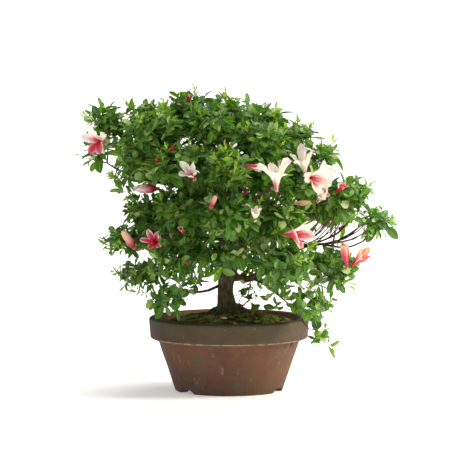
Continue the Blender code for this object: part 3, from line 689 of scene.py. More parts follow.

# %% [markdown]
# ## Moss
# The moss is a carpet of cushions that has crept out from the trunk to a ragged edge. Noise
# lumps the carpet's top, and tufts of blades grow on it. Fresh tips are yellow-green and the
# hollows are nearly black, so each tuft carries its own tone, and the carpet is dark: partly the
# moss's own colour and partly painted shade of the hollows between the tufts.

# %% Moss
moss_carpet_finish, tree, shader, place = new_finish("cushion_moss", 0.96)
moss_share = stretch(cloud(place, 6, 4.0), 0.3, 0.7)
# The carpet's colour is partly the moss's own and partly painted shade of the hollows between the
# tufts.
moss_colour = blend(moss_share, "252A13", "79833D")
moss_colour = blend(stretch(cloud(place, 26), 0.46, 0.6, 0.0, 0.8), moss_colour, "4A3A24")
paint(shader, moss_colour)
bump(shader, cloud(place, 1.6), 0.8)

moss_blade_finish, tree, shader, place = new_finish("moss_tips", 0.85)
own_tone = attribute(tree, "tone")
blade_colour = blend(own_tone, "7C8C34", "D6DC86")
blade_colour = blend(stretch(cloud(place, 15, 4.0), 0.44, 0.56, 0.92, 0.0), blade_colour, "1F2610")
blade_colour = blend(stretch(cloud(place, 22), 0.50, 0.60, 0.0, 0.8), blade_colour, "8A7244")
paint(shader, blade_colour)


def moss_reach(a):
    """The ragged edge of the carpet."""
    ragged = noise.noise(Vector((math.cos(a), math.sin(a), 0)) * 6.0) * 0.006
    return 0.084 * (1 + 0.10 * math.sin(3 * a + 0.6) + 0.05 * math.sin(7 * a)) + ragged


def moss_height(x, y, share):
    cushions = 0.5 + 0.5 * noise.noise(Vector((x, y, 7)) / 0.012)
    lump = 0.0006 + 0.0048 * cushions * (1 - share**6)
    return mound(math.hypot(x, y)) + lump


moss_mesh = bed_mesh("moss_bed", moss_reach, moss_height, lambda r: 0.0045, rings=48, turns=170)
piece("moss_bed", moss_mesh, [moss_carpet_finish], ["moss_carpet"])


def tuft_mesh(seed, blades=7):
    """A tuft of pointed blades, one unit tall."""
    draw = random.Random(seed)
    points, faces = [], []
    for k in range(blades):
        a = math.tau * k / blades + draw.uniform(-0.4, 0.4)
        lean, tall = draw.uniform(0.25, 0.75), draw.uniform(0.6, 1.0)
        root = Vector((math.cos(a), math.sin(a), 0)) * 0.12
        side = Vector((-math.sin(a), math.cos(a), 0)) * 0.09
        tip = Vector((math.cos(a) * lean, math.sin(a) * lean, tall))
        middle = (root + tip) / 2 + Vector((0, 0, 0.12))
        start = len(points)
        points += [root - side, root + side, middle + side * 0.7, middle - side * 0.7, tip]
        faces += [(start, start + 1, start + 2, start + 3), (start + 3, start + 2, start + 4)]
    mesh = bpy.data.meshes.new(f"tuft_{seed}")
    mesh.from_pydata([tuple(p) for p in points], [], faces)
    return mesh


tufts = grown(
    scatter, top_faces(moss_mesh, lambda co: 1.0),
    Shapes=shape_collection("tuft", [tuft_mesh(i) for i in range(3)]),
    Density=260000.0, Smallest=0.0016, Largest=0.0034, Upright=True, Seed=9, Finish=moss_blade_finish,
)
piece("moss_tufts", tufts, [moss_blade_finish])
print("moss tufts:", len(tufts.polygons), "faces")

# %% [markdown]
# ## The pebble
# One pale pebble lies in the moss, worn smooth, with an orange stain. A single lump, a finely
# divided icosphere pushed out of round by noise, is enough for it.

# %% Pebble
pebble_finish, tree, shader, place = new_finish("stained_quartz_pebble", 0.5)
stain = stretch(cloud(place, 6), 0.4, 0.6)
paint(shader, blend(stain, "E6D6AE", "C4812F"))
bump(shader, cloud(place, 1.0), 0.15)
pebble_low, pebble_high = (Vector(corner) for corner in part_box("pebble"))
bm = bmesh.new()
bmesh.ops.create_icosphere(bm, subdivisions=4, radius=0.5)
for v in bm.verts:
    v.co *= 1 + 0.25 * noise.noise(v.co * 2.4)
    for i in range(3):
        span = pebble_high[i] - pebble_low[i]
        v.co[i] = (pebble_high[i] + pebble_low[i]) / 2 + v.co[i] * span * (1.0 if i < 2 else 1.1)
pebble_mesh = bpy.data.meshes.new("worn_pebble")
bm.to_mesh(pebble_mesh)
piece("worn_pebble", pebble_mesh, [pebble_finish], ["pebble"])
print("the pebble is", round((pebble_high.x - pebble_low.x) / MM, 1), "mm wide")

# %% [markdown]
# ## Bark
# Old azalea bark is thin, dark grey-brown and finely cracked along the trunk, with green film and
# moss at the foot. Young branches are smoother and redder. The height above the soil and the
# distance from the trunk decide between them, and stretched noise makes the cracks.

# %% Bark
bark, tree, shader, place = new_finish("azalea_bark", 0.88)
along = streaky(place, (1.0, 1.0, 0.22))
cracks = cloud(along, 3.2, 6.0, 0.7)
bark_colour = blend(stretch(cracks, 0.36, 0.66), "2A2516", "74664A")
thin = attribute(tree, "thinness")
young_bark = blend(stretch(cracks, 0.36, 0.66), "33201A", "6E4837")
bark_colour = blend(thin, bark_colour, young_bark)
height = add_node(tree, "ShaderNodeSeparateXYZ", {0: place}).outputs["Z"]
low_down = stretch(height, SOIL_TOP, SOIL_TOP + 0.075, 0.95, 0.1)
film = compute("MULTIPLY", low_down, stretch(cloud(place, 8, 4.0), 0.34, 0.6))
bark_colour = blend(film, bark_colour, "363B18")
lichen = stretch(cloud(place, 5, 2.0), 0.66, 0.74, 0.0, 0.4)
bark_colour = blend(lichen, bark_colour, "75755A")
paint(shader, bark_colour)
bump(shader, cracks, 1.1)

# %% [markdown]
# ## The trunk and limbs
# The CAD wood is a union of plain bars. A copy of it is merged and rebuilt as an even net of
# small faces by a voxel remesh, which also welds the joints into one skin, as wood grows. Every
# point then moves along its normal by stretched noise: deep ridges on the trunk and roots, and
# slight knuckles on thin branches. How thick the wood is at a point is read from how far a ray
# travels through it.


# %% Wood
def cad_copy(node):
    """A merged copy of a CAD node's mesh."""
    bm = bmesh.new()
    bm.from_mesh(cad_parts[node].data)
    bmesh.ops.remove_doubles(bm, verts=bm.verts, dist=1e-6)
    mesh = bpy.data.meshes.new(node + "_copy")
    bm.to_mesh(mesh)
    bm.free()
    return mesh


wood_cad = cad_copy("trunk_and_branches")
wood_points = np.array([v.co for v in wood_cad.vertices])
rebuilt = bpy.data.objects.new("rebuilt_wood", wood_cad)
bpy.context.scene.collection.objects.link(rebuilt)
remesh = rebuilt.modifiers.new("even_net", "REMESH")
remesh.mode, remesh.voxel_size = "VOXEL", 0.00105
graph = bpy.context.evaluated_depsgraph_get()
wood_mesh = bpy.data.meshes.new_from_object(rebuilt.evaluated_get(graph))
bpy.data.objects.remove(rebuilt)
bm = bmesh.new()
bm.from_mesh(wood_mesh)
# Wood fills the angle where a limb leaves the trunk, and the thick limb sags before it rises.
FORK, FORK_REACH = Vector((POT_AXIS.x + 0.010, POT_AXIS.y, 0.170)), 0.030
SAG_MIDDLE, SAG_REACH, SAG = Vector((POT_AXIS.x + 0.028, POT_AXIS.y - 0.006, 0.172)), 0.015, 0.0050
at_fork = [v for v in bm.verts if (v.co - FORK).length < FORK_REACH]
for rounds, verts in ((2, bm.verts), (26, at_fork)):
    for _ in range(rounds):
        bmesh.ops.smooth_vert(
            bm, verts=verts, factor=0.5, use_axis_x=True, use_axis_y=True, use_axis_z=True
        )
for v in bm.verts:
    v.co.z -= SAG * math.exp(-(((v.co - SAG_MIDDLE).length / SAG_REACH) ** 2))
bm.to_mesh(wood_mesh)
bm.free()

skin = BVHTree.FromPolygons(
    [v.co for v in wood_mesh.vertices], [tuple(p.vertices) for p in wood_mesh.polygons]
)
thinness, moved = [], []
for v in wood_mesh.vertices:
    hit = skin.ray_cast(v.co - v.normal * 0.0004, -v.normal, 0.06)
    thick = hit[3] if hit[0] is not None else 0.002
    thinness.append(min(max(1 - (thick - 0.004) / 0.012, 0), 1))
    stretched = Vector((v.co.x, v.co.y, v.co.z * 0.3))
    ridges = 0.9 - abs(noise.noise(stretched / 0.007)) * 2
    knots = noise.noise(v.co / 0.016)
    deep = min(thick * 0.05, 0.0009)
    bend = noise.noise_vector(v.co / 0.030) * 0.0020 * (1 - thinness[-1])
    moved.append(v.co + v.normal * (ridges * deep + knots * deep * 1.2) + bend)
for v, co in zip(wood_mesh.vertices, moved):
    v.co = co
store(wood_mesh, thinness=thinness)
piece("trunk_and_limbs", wood_mesh, [bark], ["trunk_and_branches"])
print("the wood has", len(wood_mesh.polygons), "faces")

# %% [markdown]
# ## Where the shoots stand
# A spray of leaves is a few dozen short shoots. They stand just inside the space that the CAD
# solid holds, close together in the crown and further apart in the shaded skirt, and lean outwards
# and up to the light. A shoot that would stand too near another is dropped, which spaces them as a
# grower's shears do. Daylight shows through the tree in places, and some limbs lie bare in front
# of the leaves: those gaps are listed as they look from the front, and no shoot stands in one.


# %% Shoots
class Spray:
    """The convex space of one spray's CAD solid."""

    def __init__(self, node):
        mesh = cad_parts[node].data
        self.node = node
        points = np.array([v.co for v in mesh.vertices])
        self.centre = Vector(points.mean(axis=0))
        self.walls = [(Vector(f.center), Vector(f.normal)) for f in mesh.polygons if f.area > 1e-7]

    def reach(self, direction):
        """How far it is from the centre to the skin."""
        steps = [
            (at - self.centre).dot(n) / direction.dot(n) for at,
            n in self.walls if direction.dot(n) > 1e-4
        ]
        return min(steps)


# Gaps as (x from the pot's axis, height above the floor, radius) in mm.
DAYLIGHT = [
    (-85, 294, 6), (-72, 289, 5), (-85, 266, 5), (-61, 272, 3), (-69, 246, 4), (-30, 225, 2),
    (-19, 230, 2),
    (-40, 178, 6), (-26, 160, 8), (-30, 135, 12), (-48, 128, 6), (24, 160, 10), (30, 142, 8),
    (-56, 365, 4),
    (57, 294, 2), (118, 236, 9), (138, 239, 11), (158, 244, 8), (134, 212, 8), (156, 214, 9),
    (238, 238, 6),
    (-150, 300, 15), (-122, 288, 14), (-150, 318, 7), (-134, 309, 7), (-116, 303, 6),
    (-166, 328, 6), (106, 152, 4), (88, 164, 3), (62, 150, 6), (128, 170, 4),
]
BARE_LIMBS = [
    (-60, 300, 4), (-78, 306, 5), (-98, 311, 5), (-118, 315, 6), (-136, 320, 6), (-154, 330, 6),
    (31, 180, 6),
    (50, 182, 5), (48, 206, 4), (58, 220, 3), (96, 214, 4), (6, 176, 8), (20, 184, 8),
    (-6, 172, 9), (-16, 166, 7), (4, 190, 7), (38, 192, 6), (64, 196, 5),
]
LEAF_REACH = 4.0  # mm that leaves stick out sideways from their shoot
CROWN_AXIS = Vector((POT_AXIS.x, POT_AXIS.y, 0))


def in_gap(place):
    """Whether a shoot would close a gap, as seen from the front and a little above."""
    across = (place.x - POT_AXIS.x) / MM
    up = (place.z + (place.y - POT_AXIS.y) * math.tan(CAMERA_ELEVATION)) / MM
    in_front = place.y < POT_AXIS.y - 0.005
    gaps = DAYLIGHT + (BARE_LIMBS if in_front else [])
    return any(math.hypot(across - x, up - z) < radius + LEAF_REACH for x, z, radius in gaps)


sprays = [Spray(node) for node in sorted(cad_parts) if node.startswith("leaves_")]
CROWN_SPACING, SKIRT_SPACING = 0.0097, 0.0118
SHOOT_INSET = 0.0125
CROWN_TRIM = 0.008  # how much lower shoots stand under the top of a spray
TRIES_PER_SPRAY = 900
draw = random.Random(11)
shoots = []  # (place, facing, vigour, youth, spray index)
taken = np.empty((0, 3))
for index, spray in enumerate(sprays):
    for _ in range(TRIES_PER_SPRAY):
        direction = Vector((draw.gauss(0, 1), draw.gauss(0, 1), draw.gauss(0.12, 1))).normalized()
        reach = spray.reach(direction)
        reach -= min(SHOOT_INSET + CROWN_TRIM * max(direction.z, 0), reach / 2)
        out_share = draw.uniform(0.2, 1) ** 0.5
        place = spray.centre + direction * reach * out_share
        in_crown = min(max((place.z - 0.17) / 0.09, 1 - (place - CROWN_AXIS).xy.length / 0.09, 0), 1)
        spacing = SKIRT_SPACING + (CROWN_SPACING - SKIRT_SPACING) * in_crown
        if in_gap(place):
            continue
        if len(taken) and np.linalg.norm(taken - np.array(place), axis=1).min() < spacing:
            continue
        taken = np.vstack([taken, np.array(place)])
        outwards = (place - CROWN_AXIS - Vector((0, 0, 0.20))).normalized()
        own = (place - spray.centre).normalized()
        lean = Vector((draw.gauss(0, 0.42), draw.gauss(0, 0.42), draw.gauss(0, 0.30)))
        facing = (
            outwards * 0.45 + own * 0.45 + Vector((0, 0, 0.35 + 0.75 * in_crown)) + lean
        ).normalized()
        youth = draw.random() * (1 - 0.16 * in_crown) if out_share > 0.75 else 0.0
        shoots.append((place, facing, draw.uniform(0.66, 1.18), youth, index))
print(len(sprays), "sprays hold", len(shoots), "shoots")

# %% [markdown]
# ## Loose shoots
# A few shoots stand apart from the sprays: a thin sprig that droops beside the trunk, some pale
# leaves in the light behind it, and the leaves that reach out past the left arm. Each is a
# place from the pot's axis and the top of the soil, and the way it faces.

# %% Loose shoots
LOOSE_SHOOTS = [
    ((21, -18, 50), (0.5, -0.2, -0.6)), ((25, -20, 38), (0.3, -0.3, -0.8)),
    ((29, -22, 27), (0.5, 0.0, -0.7)),
    ((35, -20, 34), (0.8, -0.2, -0.3)), ((19, -18, 30), (-0.4, -0.2, -0.8)),
    ((36, 40, 46), (0.2, 0.1, 0.9)),
    ((47, 44, 38), (0.7, 0.2, 0.5)), ((30, 42, 58), (-0.3, 0.1, 0.9)), ((54, 36, 52), (0.8, 0.0, 0.5)),
    ((62, 34, 40), (0.7, 0.1, 0.1)), ((-146, -50, 204), (-0.5, -0.8, 0.3)),
    ((-156, -52, 194), (-0.5, -0.8, -0.1)),
    ((-142, -50, 186), (-0.3, -0.9, -0.3)), ((-160, -48, 206), (-0.6, -0.6, 0.3)),
    ((-118, -60, 176), (-0.3, -0.4, -0.6)),
    ((-178, -10, 280), (-0.5, -0.4, 0.6)), ((-166, -12, 275), (0.2, -0.6, 0.6)),
    ((-171, -8, 264), (-0.3, -0.7, 0.2)),
    ((-158, -10, 268), (0.3, -0.6, 0.5)), ((-155, -12, 257), (-0.2, -0.7, 0.0)),
    ((-160, -14, 284), (0.0, -0.4, 0.8)),
    ((-148, -10, 278), (0.4, -0.4, 0.7)), ((-146, -6, 264), (0.3, -0.6, 0.3)),
    ((-166, -14, 256), (-0.4, -0.5, -0.2)),
    ((-62, -60, 40), (0.2, -0.5, 0.5)), ((-50, -50, 48), (0.3, -0.4, 0.7)),
    ((66, -70, 36), (-0.2, -0.5, 0.6)),
    ((82, -84, 30), (-0.1, -0.6, 0.5)), ((70, -88, 18), (-0.4, -0.6, 0.2)),
    ((54, -66, 50), (-0.4, -0.3, 0.7)),
    ((-60, -70, 60), (-0.2, -0.5, 0.6)), ((-72, -75, 52), (0.3, -0.6, 0.4)),
    ((-85, -80, 44), (-0.4, -0.6, 0.3)),
    ((-98, -80, 50), (-0.6, -0.3, 0.5)), ((-112, -76, 56), (-0.8, -0.3, 0.2)),
    ((-70, -84, 28), (-0.1, -0.6, 0.1)),
    ((-122, -72, 40), (-0.8, -0.2, 0.1)), ((-95, -84, 32), (-0.6, -0.5, -0.1)),
    ((-80, -80, 66), (-0.1, -0.4, 0.8)),
    ((-66, -70, 74), (0.1, -0.5, 0.7)), ((-104, -78, 68), (-0.5, -0.4, 0.6)),
    ((-52, -62, 52), (0.5, -0.4, 0.4)),
]
# Shoots also fill the heart of the tree, between the sprays: an ellipsoid round the trunk's top.
HEART_MIDDLE, HEART_HALF = Vector((0.015, 0.010, 0.285)), Vector((0.115, 0.075, 0.110))
HEART_TRIES, HEART_SPACING = 900, 0.0125
wood_cad_points = np.array([v.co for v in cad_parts["trunk_and_branches"].data.vertices])
LOOSE = len(sprays)
for place, facing in LOOSE_SHOOTS:
    at = Vector((POT_AXIS.x, POT_AXIS.y, pot_high.z + 0.003)) + Vector(place) * MM
    shoots.append((at, Vector(facing).normalized(), draw.uniform(0.7, 1.0), draw.random(), LOOSE))
own_loose = len(shoots)
for _ in range(HEART_TRIES):
    offset = Vector([draw.uniform(-1, 1) for _ in range(3)])
    place = CROWN_AXIS + HEART_MIDDLE + offset * HEART_HALF
    clear_of_wood = np.linalg.norm(wood_cad_points - np.array(place), axis=1).min() > 0.008
    roomy = np.linalg.norm(taken - np.array(place), axis=1).min() > HEART_SPACING
    if offset.length < 1 and clear_of_wood and roomy and not in_gap(place):
        taken = np.vstack([taken, np.array(place)])
        lean = Vector((draw.gauss(0, 0.5), draw.gauss(0, 0.5), draw.gauss(0.5, 0.4)))
        facing = ((place - CROWN_AXIS - HEART_MIDDLE) * 8 + lean).normalized()
        shoots.append((place, facing, draw.uniform(0.66, 1.1), 0.0, LOOSE))
print("added", len(LOOSE_SHOOTS), "loose shoots and", len(shoots) - own_loose, "in the heart")

# %% [markdown]
# ## Flowers
# Each open flower is a funnel of five petals, joined low down and ruffled at the edge, white with
# a deep pink throat that runs out along each petal. Five stamens and a longer pistil curve out of
# it, over a small green calyx. Buds are the same petals rolled shut. One function draws a petal
# as a curved sheet from a few numbers, so every flower in the tree can differ: how far it is
# open, how large, how pink and how tired.

# %% Flower finishes
petal_finish, tree, shader, place = new_finish("azalea_petal", 0.5)
uv = add_node(tree, "ShaderNodeUVMap", uv_map="UVMap").outputs["UV"]
middle, outwards_share = from_middle(uv)
rolled = attribute(tree, "rolled")  # 1 on a closed bud
edge_fade = compute("MULTIPLY", stretch(middle, 0.12, 0.5, 0.0, 0.55), compute("SUBTRACT", 1.0, rolled))
streaks = streaky(uv, (9.0, 1.2, 1.0))
inputs = {"Vector": streaks, "Scale": 1.0, "Detail": 3.0}
streak = add_node(tree, "ShaderNodeTexNoise", inputs).outputs["Fac"]
reach_out = compute("ADD", outwards_share, edge_fade)
reach_out = compute("ADD", reach_out, stretch(streak, 0.3, 0.7, -0.14, 0.14))
pink_left = compute("SUBTRACT", attribute(tree, "blush"), reach_out)
petal_colour = blend(attribute(tree, "peach"), "FCF3EA", "F3CBA6")
petal_colour = blend(stretch(pink_left, -0.16, 0.16), petal_colour, "F08A98")
petal_colour = blend(stretch(pink_left, 0.05, 0.45), petal_colour, "DB3354")
crimson_share = compute("MULTIPLY", stretch(pink_left, 0.15, 0.4), rolled)
petal_colour = blend(crimson_share, petal_colour, "B51A3C")
paint(shader, petal_colour)
let_light_through(shader, petal_colour, 0.38)
inputs = {"Vector": streaks, "Scale": 0.8, "Distortion": 1.5}
veins = add_node(tree, "ShaderNodeTexWave", inputs).outputs["Fac"]
bump(shader, veins, 0.12)

stamen_finish, tree, shader, place = new_finish("stamen_thread", 0.45)
paint(shader, blend(cloud(place, 4), "EFAFB8", "D8607A"))
anther_finish, tree, shader, place = new_finish("anther", 0.7)
paint(shader, blend(cloud(place, 1), "5B2E3A", "B98B5A"))
calyx_finish, tree, shader, place = new_finish("hairy_green_calyx", 0.7)
paint(shader, blend(cloud(place, 3), "5E7A26", "8E9A3A"))
bump(shader, cloud(place, 0.5), 0.15)

# %% Petals
# Each flower: the way it faces, how far it is open, its petals' length in mm, how broad they are
# for their length, how far the pink runs out along them, how ruffled they are and its first turn.
FLOWERS = {
    "flower_left_tip": ((-0.50, -0.84, 0.16), 0.78, 43, 0.36, 0.86, 1.2, 0.35),
    "flower_front_left": ((-0.30, -0.75, 0.58), 0.70, 35, 0.30, 0.60, 2.6, 0.9),
    "flower_faded": ((0.86, -0.40, -0.10), 0.24, 25, 0.26, 0.85, 2.6, 0.1),
    "flower_white_upright": ((-0.05, -0.45, 0.89), 0.74, 52, 0.34, 0.34, 1.3, 0.5),
    "flower_white_shoulder": ((0.50, -0.80, 0.05), 0.74, 48, 0.44, 0.56, 1.6, 0.45),
    "flower_pink_edge": ((0.74, -0.64, 0.10), 0.66, 46, 0.46, 0.80, 0.9, 0.75),
    "flower_right_tall": ((-0.12, -0.40, 0.91), 0.16, 40, 0.36, 0.95, 0.6, 0.7),
    "flower_right_wide": ((0.62, -0.48, 0.62), 0.36, 38, 0.32, 0.86, 0.6, 0.4),
    "flower_lower_left": ((-0.34, -0.90, 0.26), 0.66, 33, 0.27, 1.25, 1.6, 0.6),
    "bud_left": ((-0.99, -0.14, 0.02), 0.05, 36, 0.58, 0.66, 0.6, 0.0),
    "bud_centre": ((0.34, -0.44, 0.83), 0.03, 23, 0.38, 0.66, 0.3, 0.2),
    "bud_lower_left": ((-0.50, -0.38, 0.78), 0.08, 35, 0.34, 0.56, 0.5, 0.4),
    "bud_right": ((0.97, -0.18, 0.06), 0.04, 25, 0.38, 0.14, 0.4, 0.1),
}
# Some have peach tips, and some an upper petal that is longer than the rest by this much.
PEACH = {"flower_right_tall", "flower_right_wide", "bud_right", "bud_lower_left", "bud_centre"}
TALL_PETALS = {"flower_white_shoulder": 1.45, "flower_pink_edge": 1.25, "flower_left_tip": 1.2}
PETAL_ROWS, PETAL_COLUMNS = 15, 9


def petal_spine(opened, length, broad):
    """The petal's midline as (radius, height, lean) from the flower's neck to the petal's tip."""
    radius, height, spine = 0.030 * length, 0.0, []
    for i in range(PETAL_ROWS):
        out = i / (PETAL_ROWS - 1)
        bulge = (1 - opened) * broad * math.radians(58) * math.cos(math.pi * min(out * 1.15, 1))
        lean = math.radians(5) + bulge + opened * math.radians(112) * max(0, out - 0.22) ** 1.1
        if i:
            radius = max(radius + math.sin(lean) * length / (PETAL_ROWS - 1), 0.012 * length)
            height += math.cos(lean) * length / (PETAL_ROWS - 1)
        spine.append((radius, height, lean))
    return spine


def petal_sheet(opened, length, broad, ruffle, seed):
    """The points of one petal, row by row, with its midline in the XZ plane."""
    points = []
    for i, (radius, height, lean) in enumerate(petal_spine(opened, length, broad)):
        out = i / (PETAL_ROWS - 1)
        widening = min(max((out - 0.08) / 0.60, 0), 1)
        half = length * (0.045 + (broad / 2 - 0.045) * widening**1.3)
        half *= math.sqrt(max(1 - (max(out - 0.66, 0) / 0.345) ** 2.2, 0.004))
        curve = max(radius, half / 1.35) / (1 - 0.72 * opened * out)
        for j in range(PETAL_COLUMNS):
            side = j / (PETAL_COLUMNS - 1) * 2 - 1
            turn = side * half / curve
            cup = curve * (math.cos(turn) - 1)
            wave = noise.noise(Vector((out * 3.0, side * 1.5, seed))) * 0.085 * out
            wave += math.sin(out * 15 + seed + 2.5 * side) * 0.020 * abs(side) ** 2 * out
            cup += wave * ruffle * length + 0.012 * length * side * side * out
            out_by, up_by = cup * math.cos(lean), -cup * math.sin(lean)
            points.append(Vector((radius + out_by, curve * math.sin(turn), height + up_by)))
    return points


def flower_mesh(name, base, facing, opened, length, broad, blush, ruffle, first_turn):
    """Five petals, the calyx, stamens and pistil of one flower, in one mesh."""
    draw = random.Random(name)
    places, faces, uvs, finishes, blushes = [], [], [], [], []
    upright = facing.to_track_quat("Z", "Y").to_matrix()
    for k in range(5):
        turn = Matrix.Rotation(math.tau * (k + first_turn) / 5 + draw.uniform(-0.16, 0.16), 3, "Z")
        own_length = length * draw.uniform(0.86, 1.10)
        own_open = min(max(opened * draw.uniform(0.72, 1.22), 0.01), 0.95)
        own_broad = broad * draw.uniform(0.82, 1.12)
        hangs = -(upright @ turn @ Vector((1, 0, 0))).z
        if hangs < -0.75 and name in TALL_PETALS:
            own_length, own_open, own_broad = length * TALL_PETALS[name], opened * 0.62, own_broad * 0.6
        start = len(places)
        sheet = petal_sheet(own_open, own_length, own_broad, ruffle, k * 7.3 + len(name))
        places += [turn @ (point + Vector((0.0003 * (k % 2), 0, 0))) for point in sheet]
        redder = (0.55 if blush < 1.1 else 0.12) * hangs if opened > 0.3 else 0
        blushes += [blush * (1 + redder)] * len(sheet)
        for i in range(PETAL_ROWS):
            uvs += [(j / (PETAL_COLUMNS - 1), i / (PETAL_ROWS - 1)) for j in range(PETAL_COLUMNS)]
        for i in range(PETAL_ROWS - 1):
            for j in range(PETAL_COLUMNS - 1):
                a = start + i * PETAL_COLUMNS + j
                faces.append((a, a + 1, a + 1 + PETAL_COLUMNS, a + PETAL_COLUMNS))
                finishes.append(0)
    tubes = []
    if opened > 0.3:
        for k in range(6):
            a = math.tau * k / 6 + draw.uniform(-0.3, 0.3)
            long = length * (0.84 if k else 1.06) * draw.uniform(0.9, 1.05)
            lean = length * draw.uniform(0.08, 0.20)
            path = []
            for t in (0.08, 0.35, 0.65, 0.88, 1.0):
                path.append(
                    Vector((math.cos(a) * lean * t**1.6, math.sin(a) * lean * t**1.6, long * t))
                )
            tubes.append((path, [0.00036] * 5, 1))
            tip = path[-1]
            anther = [tip - Vector((0, 0, 0.0006)), tip, tip + Vector((0, 0, 0.0011))]
            tubes.append((anther, [0.0004, 0.0008, 0.0003], 2))
    for k in range(5):
        a = math.tau * (k + 0.5) / 5
        out = Vector((math.cos(a), math.sin(a), 0))
        path = [
            Vector((0, 0, -0.0012)) + out * 0.0008, out * 0.0018,
            out * 0.0026 + Vector((0, 0, 0.0035))
        ]
        tubes.append((path, [0.0010, 0.0011, 0.0003], 3))
    for path, radii, finish in tubes:
        add_tube(places, faces, uvs, finishes, path, radii, 5, finish)
    mesh = bpy.data.meshes.new(name)
    mesh.from_pydata([tuple(base + upright @ p) for p in places], [], faces)
    mesh.uv_layers.new(name="UVMap")
    layer = mesh.uv_layers["UVMap"].data
    for loop in mesh.loops:
        layer[loop.index].uv = uvs[loop.vertex_index]
    mesh.polygons.foreach_set("material_index", finishes)
    blushes += [blush] * (len(places) - len(blushes))
    peach, rolled = [float(name in PEACH)] * len(places), [float(opened < 0.15)] * len(places)
    store(mesh, blush=blushes, peach=peach, rolled=rolled)
    return mesh


def add_tube(places, faces, uvs, finishes, path, radii, sides, finish):
    """Adds a closed thin tube along a path to the lists of a mesh."""
    start = len(places)
    for i, (at, radius) in enumerate(zip(path, radii)):
        ahead = (path[min(i + 1, len(path) - 1)] - path[max(i - 1, 0)]).normalized()
        first = ahead.orthogonal().normalized()
        second = ahead.cross(first)
        for k in range(sides):
            a = math.tau * k / sides
            places.append(at + (first * math.cos(a) + second * math.sin(a)) * radius)
            uvs.append((k / sides, i / len(path)))
    for i in range(len(path) - 1):
        for k in range(sides):
            a, b = start + i * sides + k, start + i * sides + (k + 1) % sides
            faces.append((a, b, b + sides, a + sides))
            finishes.append(finish)
    faces.append(tuple(start + k for k in reversed(range(sides))))
    faces.append(tuple(start + (len(path) - 1) * sides + k for k in range(sides)))
    finishes.extend((finish, finish))


flower_bases = []
flower_finishes = [petal_finish, stamen_finish, anther_finish, calyx_finish]
for name, (facing, opened, length, broad, blush, ruffle, first_turn) in FLOWERS.items():
    facing = Vector(facing).normalized()
    points = [v.co.copy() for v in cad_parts[name].data.vertices]
    lowest = min(p.dot(facing) for p in points)
    ring = [p for p in points if p.dot(facing) < lowest + 0.0004]
    base = sum(ring, Vector()) / len(ring)
    mesh = flower_mesh(name, base, facing, opened, length * MM, broad, blush, ruffle, first_turn)
    piece(name + "_petals", mesh, flower_finishes, [name])
    flower_bases.append((base - facing * 0.002, facing))
print("made", len(FLOWERS), "flowers and buds")

# %% [markdown]
# ## Small blooms
# Besides the large flowers, the crown shows small ones: withered corollas, buds that are only
# just coloured, and tips of flowers behind leaves. Each stands on the front of the leaves, at a
# place given by its distance from the pot's axis and its height above the floor.

# %% Small blooms
SMALL_BLOOMS = [  # x and height in mm, the way it faces, how far open, length in mm, breadth, blush
    ((37, 267), (0.1, -0.6, 0.8), 0.45, 24, 0.34, 0.25),
    ((158, 300), (0.5, -0.6, 0.6), 0.40, 23, 0.36, 1.05),
    ((146, 296), (-0.4, -0.7, 0.5), 0.50, 22, 0.36, 0.55),
    ((21, 305), (0.3, -0.8, 0.4), 0.05, 13, 0.42, 1.5),
    ((-61, 203), (-0.2, -0.9, 0.2), 0.15, 11, 0.46, 1.5),
    ((-67, 247), (-0.3, -0.8, 0.5), 0.30, 14, 0.38, 1.1),
    ((-84, 368), (0.1, -0.8, 0.5), 0.10, 12, 0.42, 1.5),
    ((-104, 352), (-0.2, -0.8, 0.5), 0.08, 10, 0.42, 1.5),
    ((112, 328), (-0.15, -0.5, 0.85), 0.58, 44, 0.26, 0.12),
    ((166, 238), (0.6, -0.6, 0.4), 0.05, 11, 0.42, 1.5),
    ((130, 288), (0.3, -0.8, 0.5), 0.45, 24, 0.40, 0.40),
    ((-60, 434), (0.1, -0.5, 0.9), 0.06, 12, 0.36, 0.9),
]
bloom_bases, bloom_meshes = [], []
for number, ((x, z), facing, opened, length, broad, blush) in enumerate(SMALL_BLOOMS):
    x, z = POT_AXIS.x + x * MM, z * MM
    near = [place.y for place, *_ in shoots if math.hypot(place.x - x, place.z - z) < 0.022]
    base = Vector((x, (min(near) if near else POT_AXIS.y) - 0.004, z))
    facing = Vector(facing).normalized()
    bloom_bases.append((base - facing * 0.002, facing))
    mesh = flower_mesh(
        f"small_bloom_{number}", base, facing, opened, length * MM, broad, blush, 1.6, number * 0.3
    )
    bloom_meshes.append(mesh)
blooms = joined("small_blooms", bloom_meshes)
piece("small_blooms", blooms, flower_finishes)

# %% [markdown]
# ## Twigs
# Every shoot and flower has to hang on something. Each one, nearest to the wood first, is joined
# to the closest point of the wood or of a twig that is already there, along a curve that leaves
# sideways and arrives in the shoot's own direction. Twigs thicken with the number of shoots they
# carry. A Geometry Nodes tree then sweeps a small round section along them all.

# %% Twig routes
# Fans of bare twigs: how many, then the first and last foot and the first and last top, each as
# (x, y) from the pot's axis and the height above the floor in mm.
FANS = [
    (21, (72, -10, 212), (140, -6, 220), (124, -4, 268), (214, -8, 246)),
    (9, (34, -34, 184), (70, -30, 190), (36, -46, 232), (84, -40, 236)),
]
FAN_LOAD = 5  # a fan's twigs are as thick as if each carried this many shoots
YOUNG_SHOOT = 0.72  # the share of youth from which a shoot has a bright new tip
ends = [(p, d, 0.022 if y > YOUNG_SHOOT else 0.012) for p, d, _, y, _ in shoots]
ends += [(base, d, 0.0) for base, d in flower_bases + bloom_bases]
near_wood = [float(np.linalg.norm(wood_points - np.array(p), axis=1).min()) for p, _, _ in ends]
order = sorted(range(len(ends)), key=lambda i: near_wood[i])
knots = wood_points.copy()
runs = np.full(len(knots), 0.010)  # how far each knot is along the twigs from thick wood
paths = []  # (points, knot numbers)
parents = {}
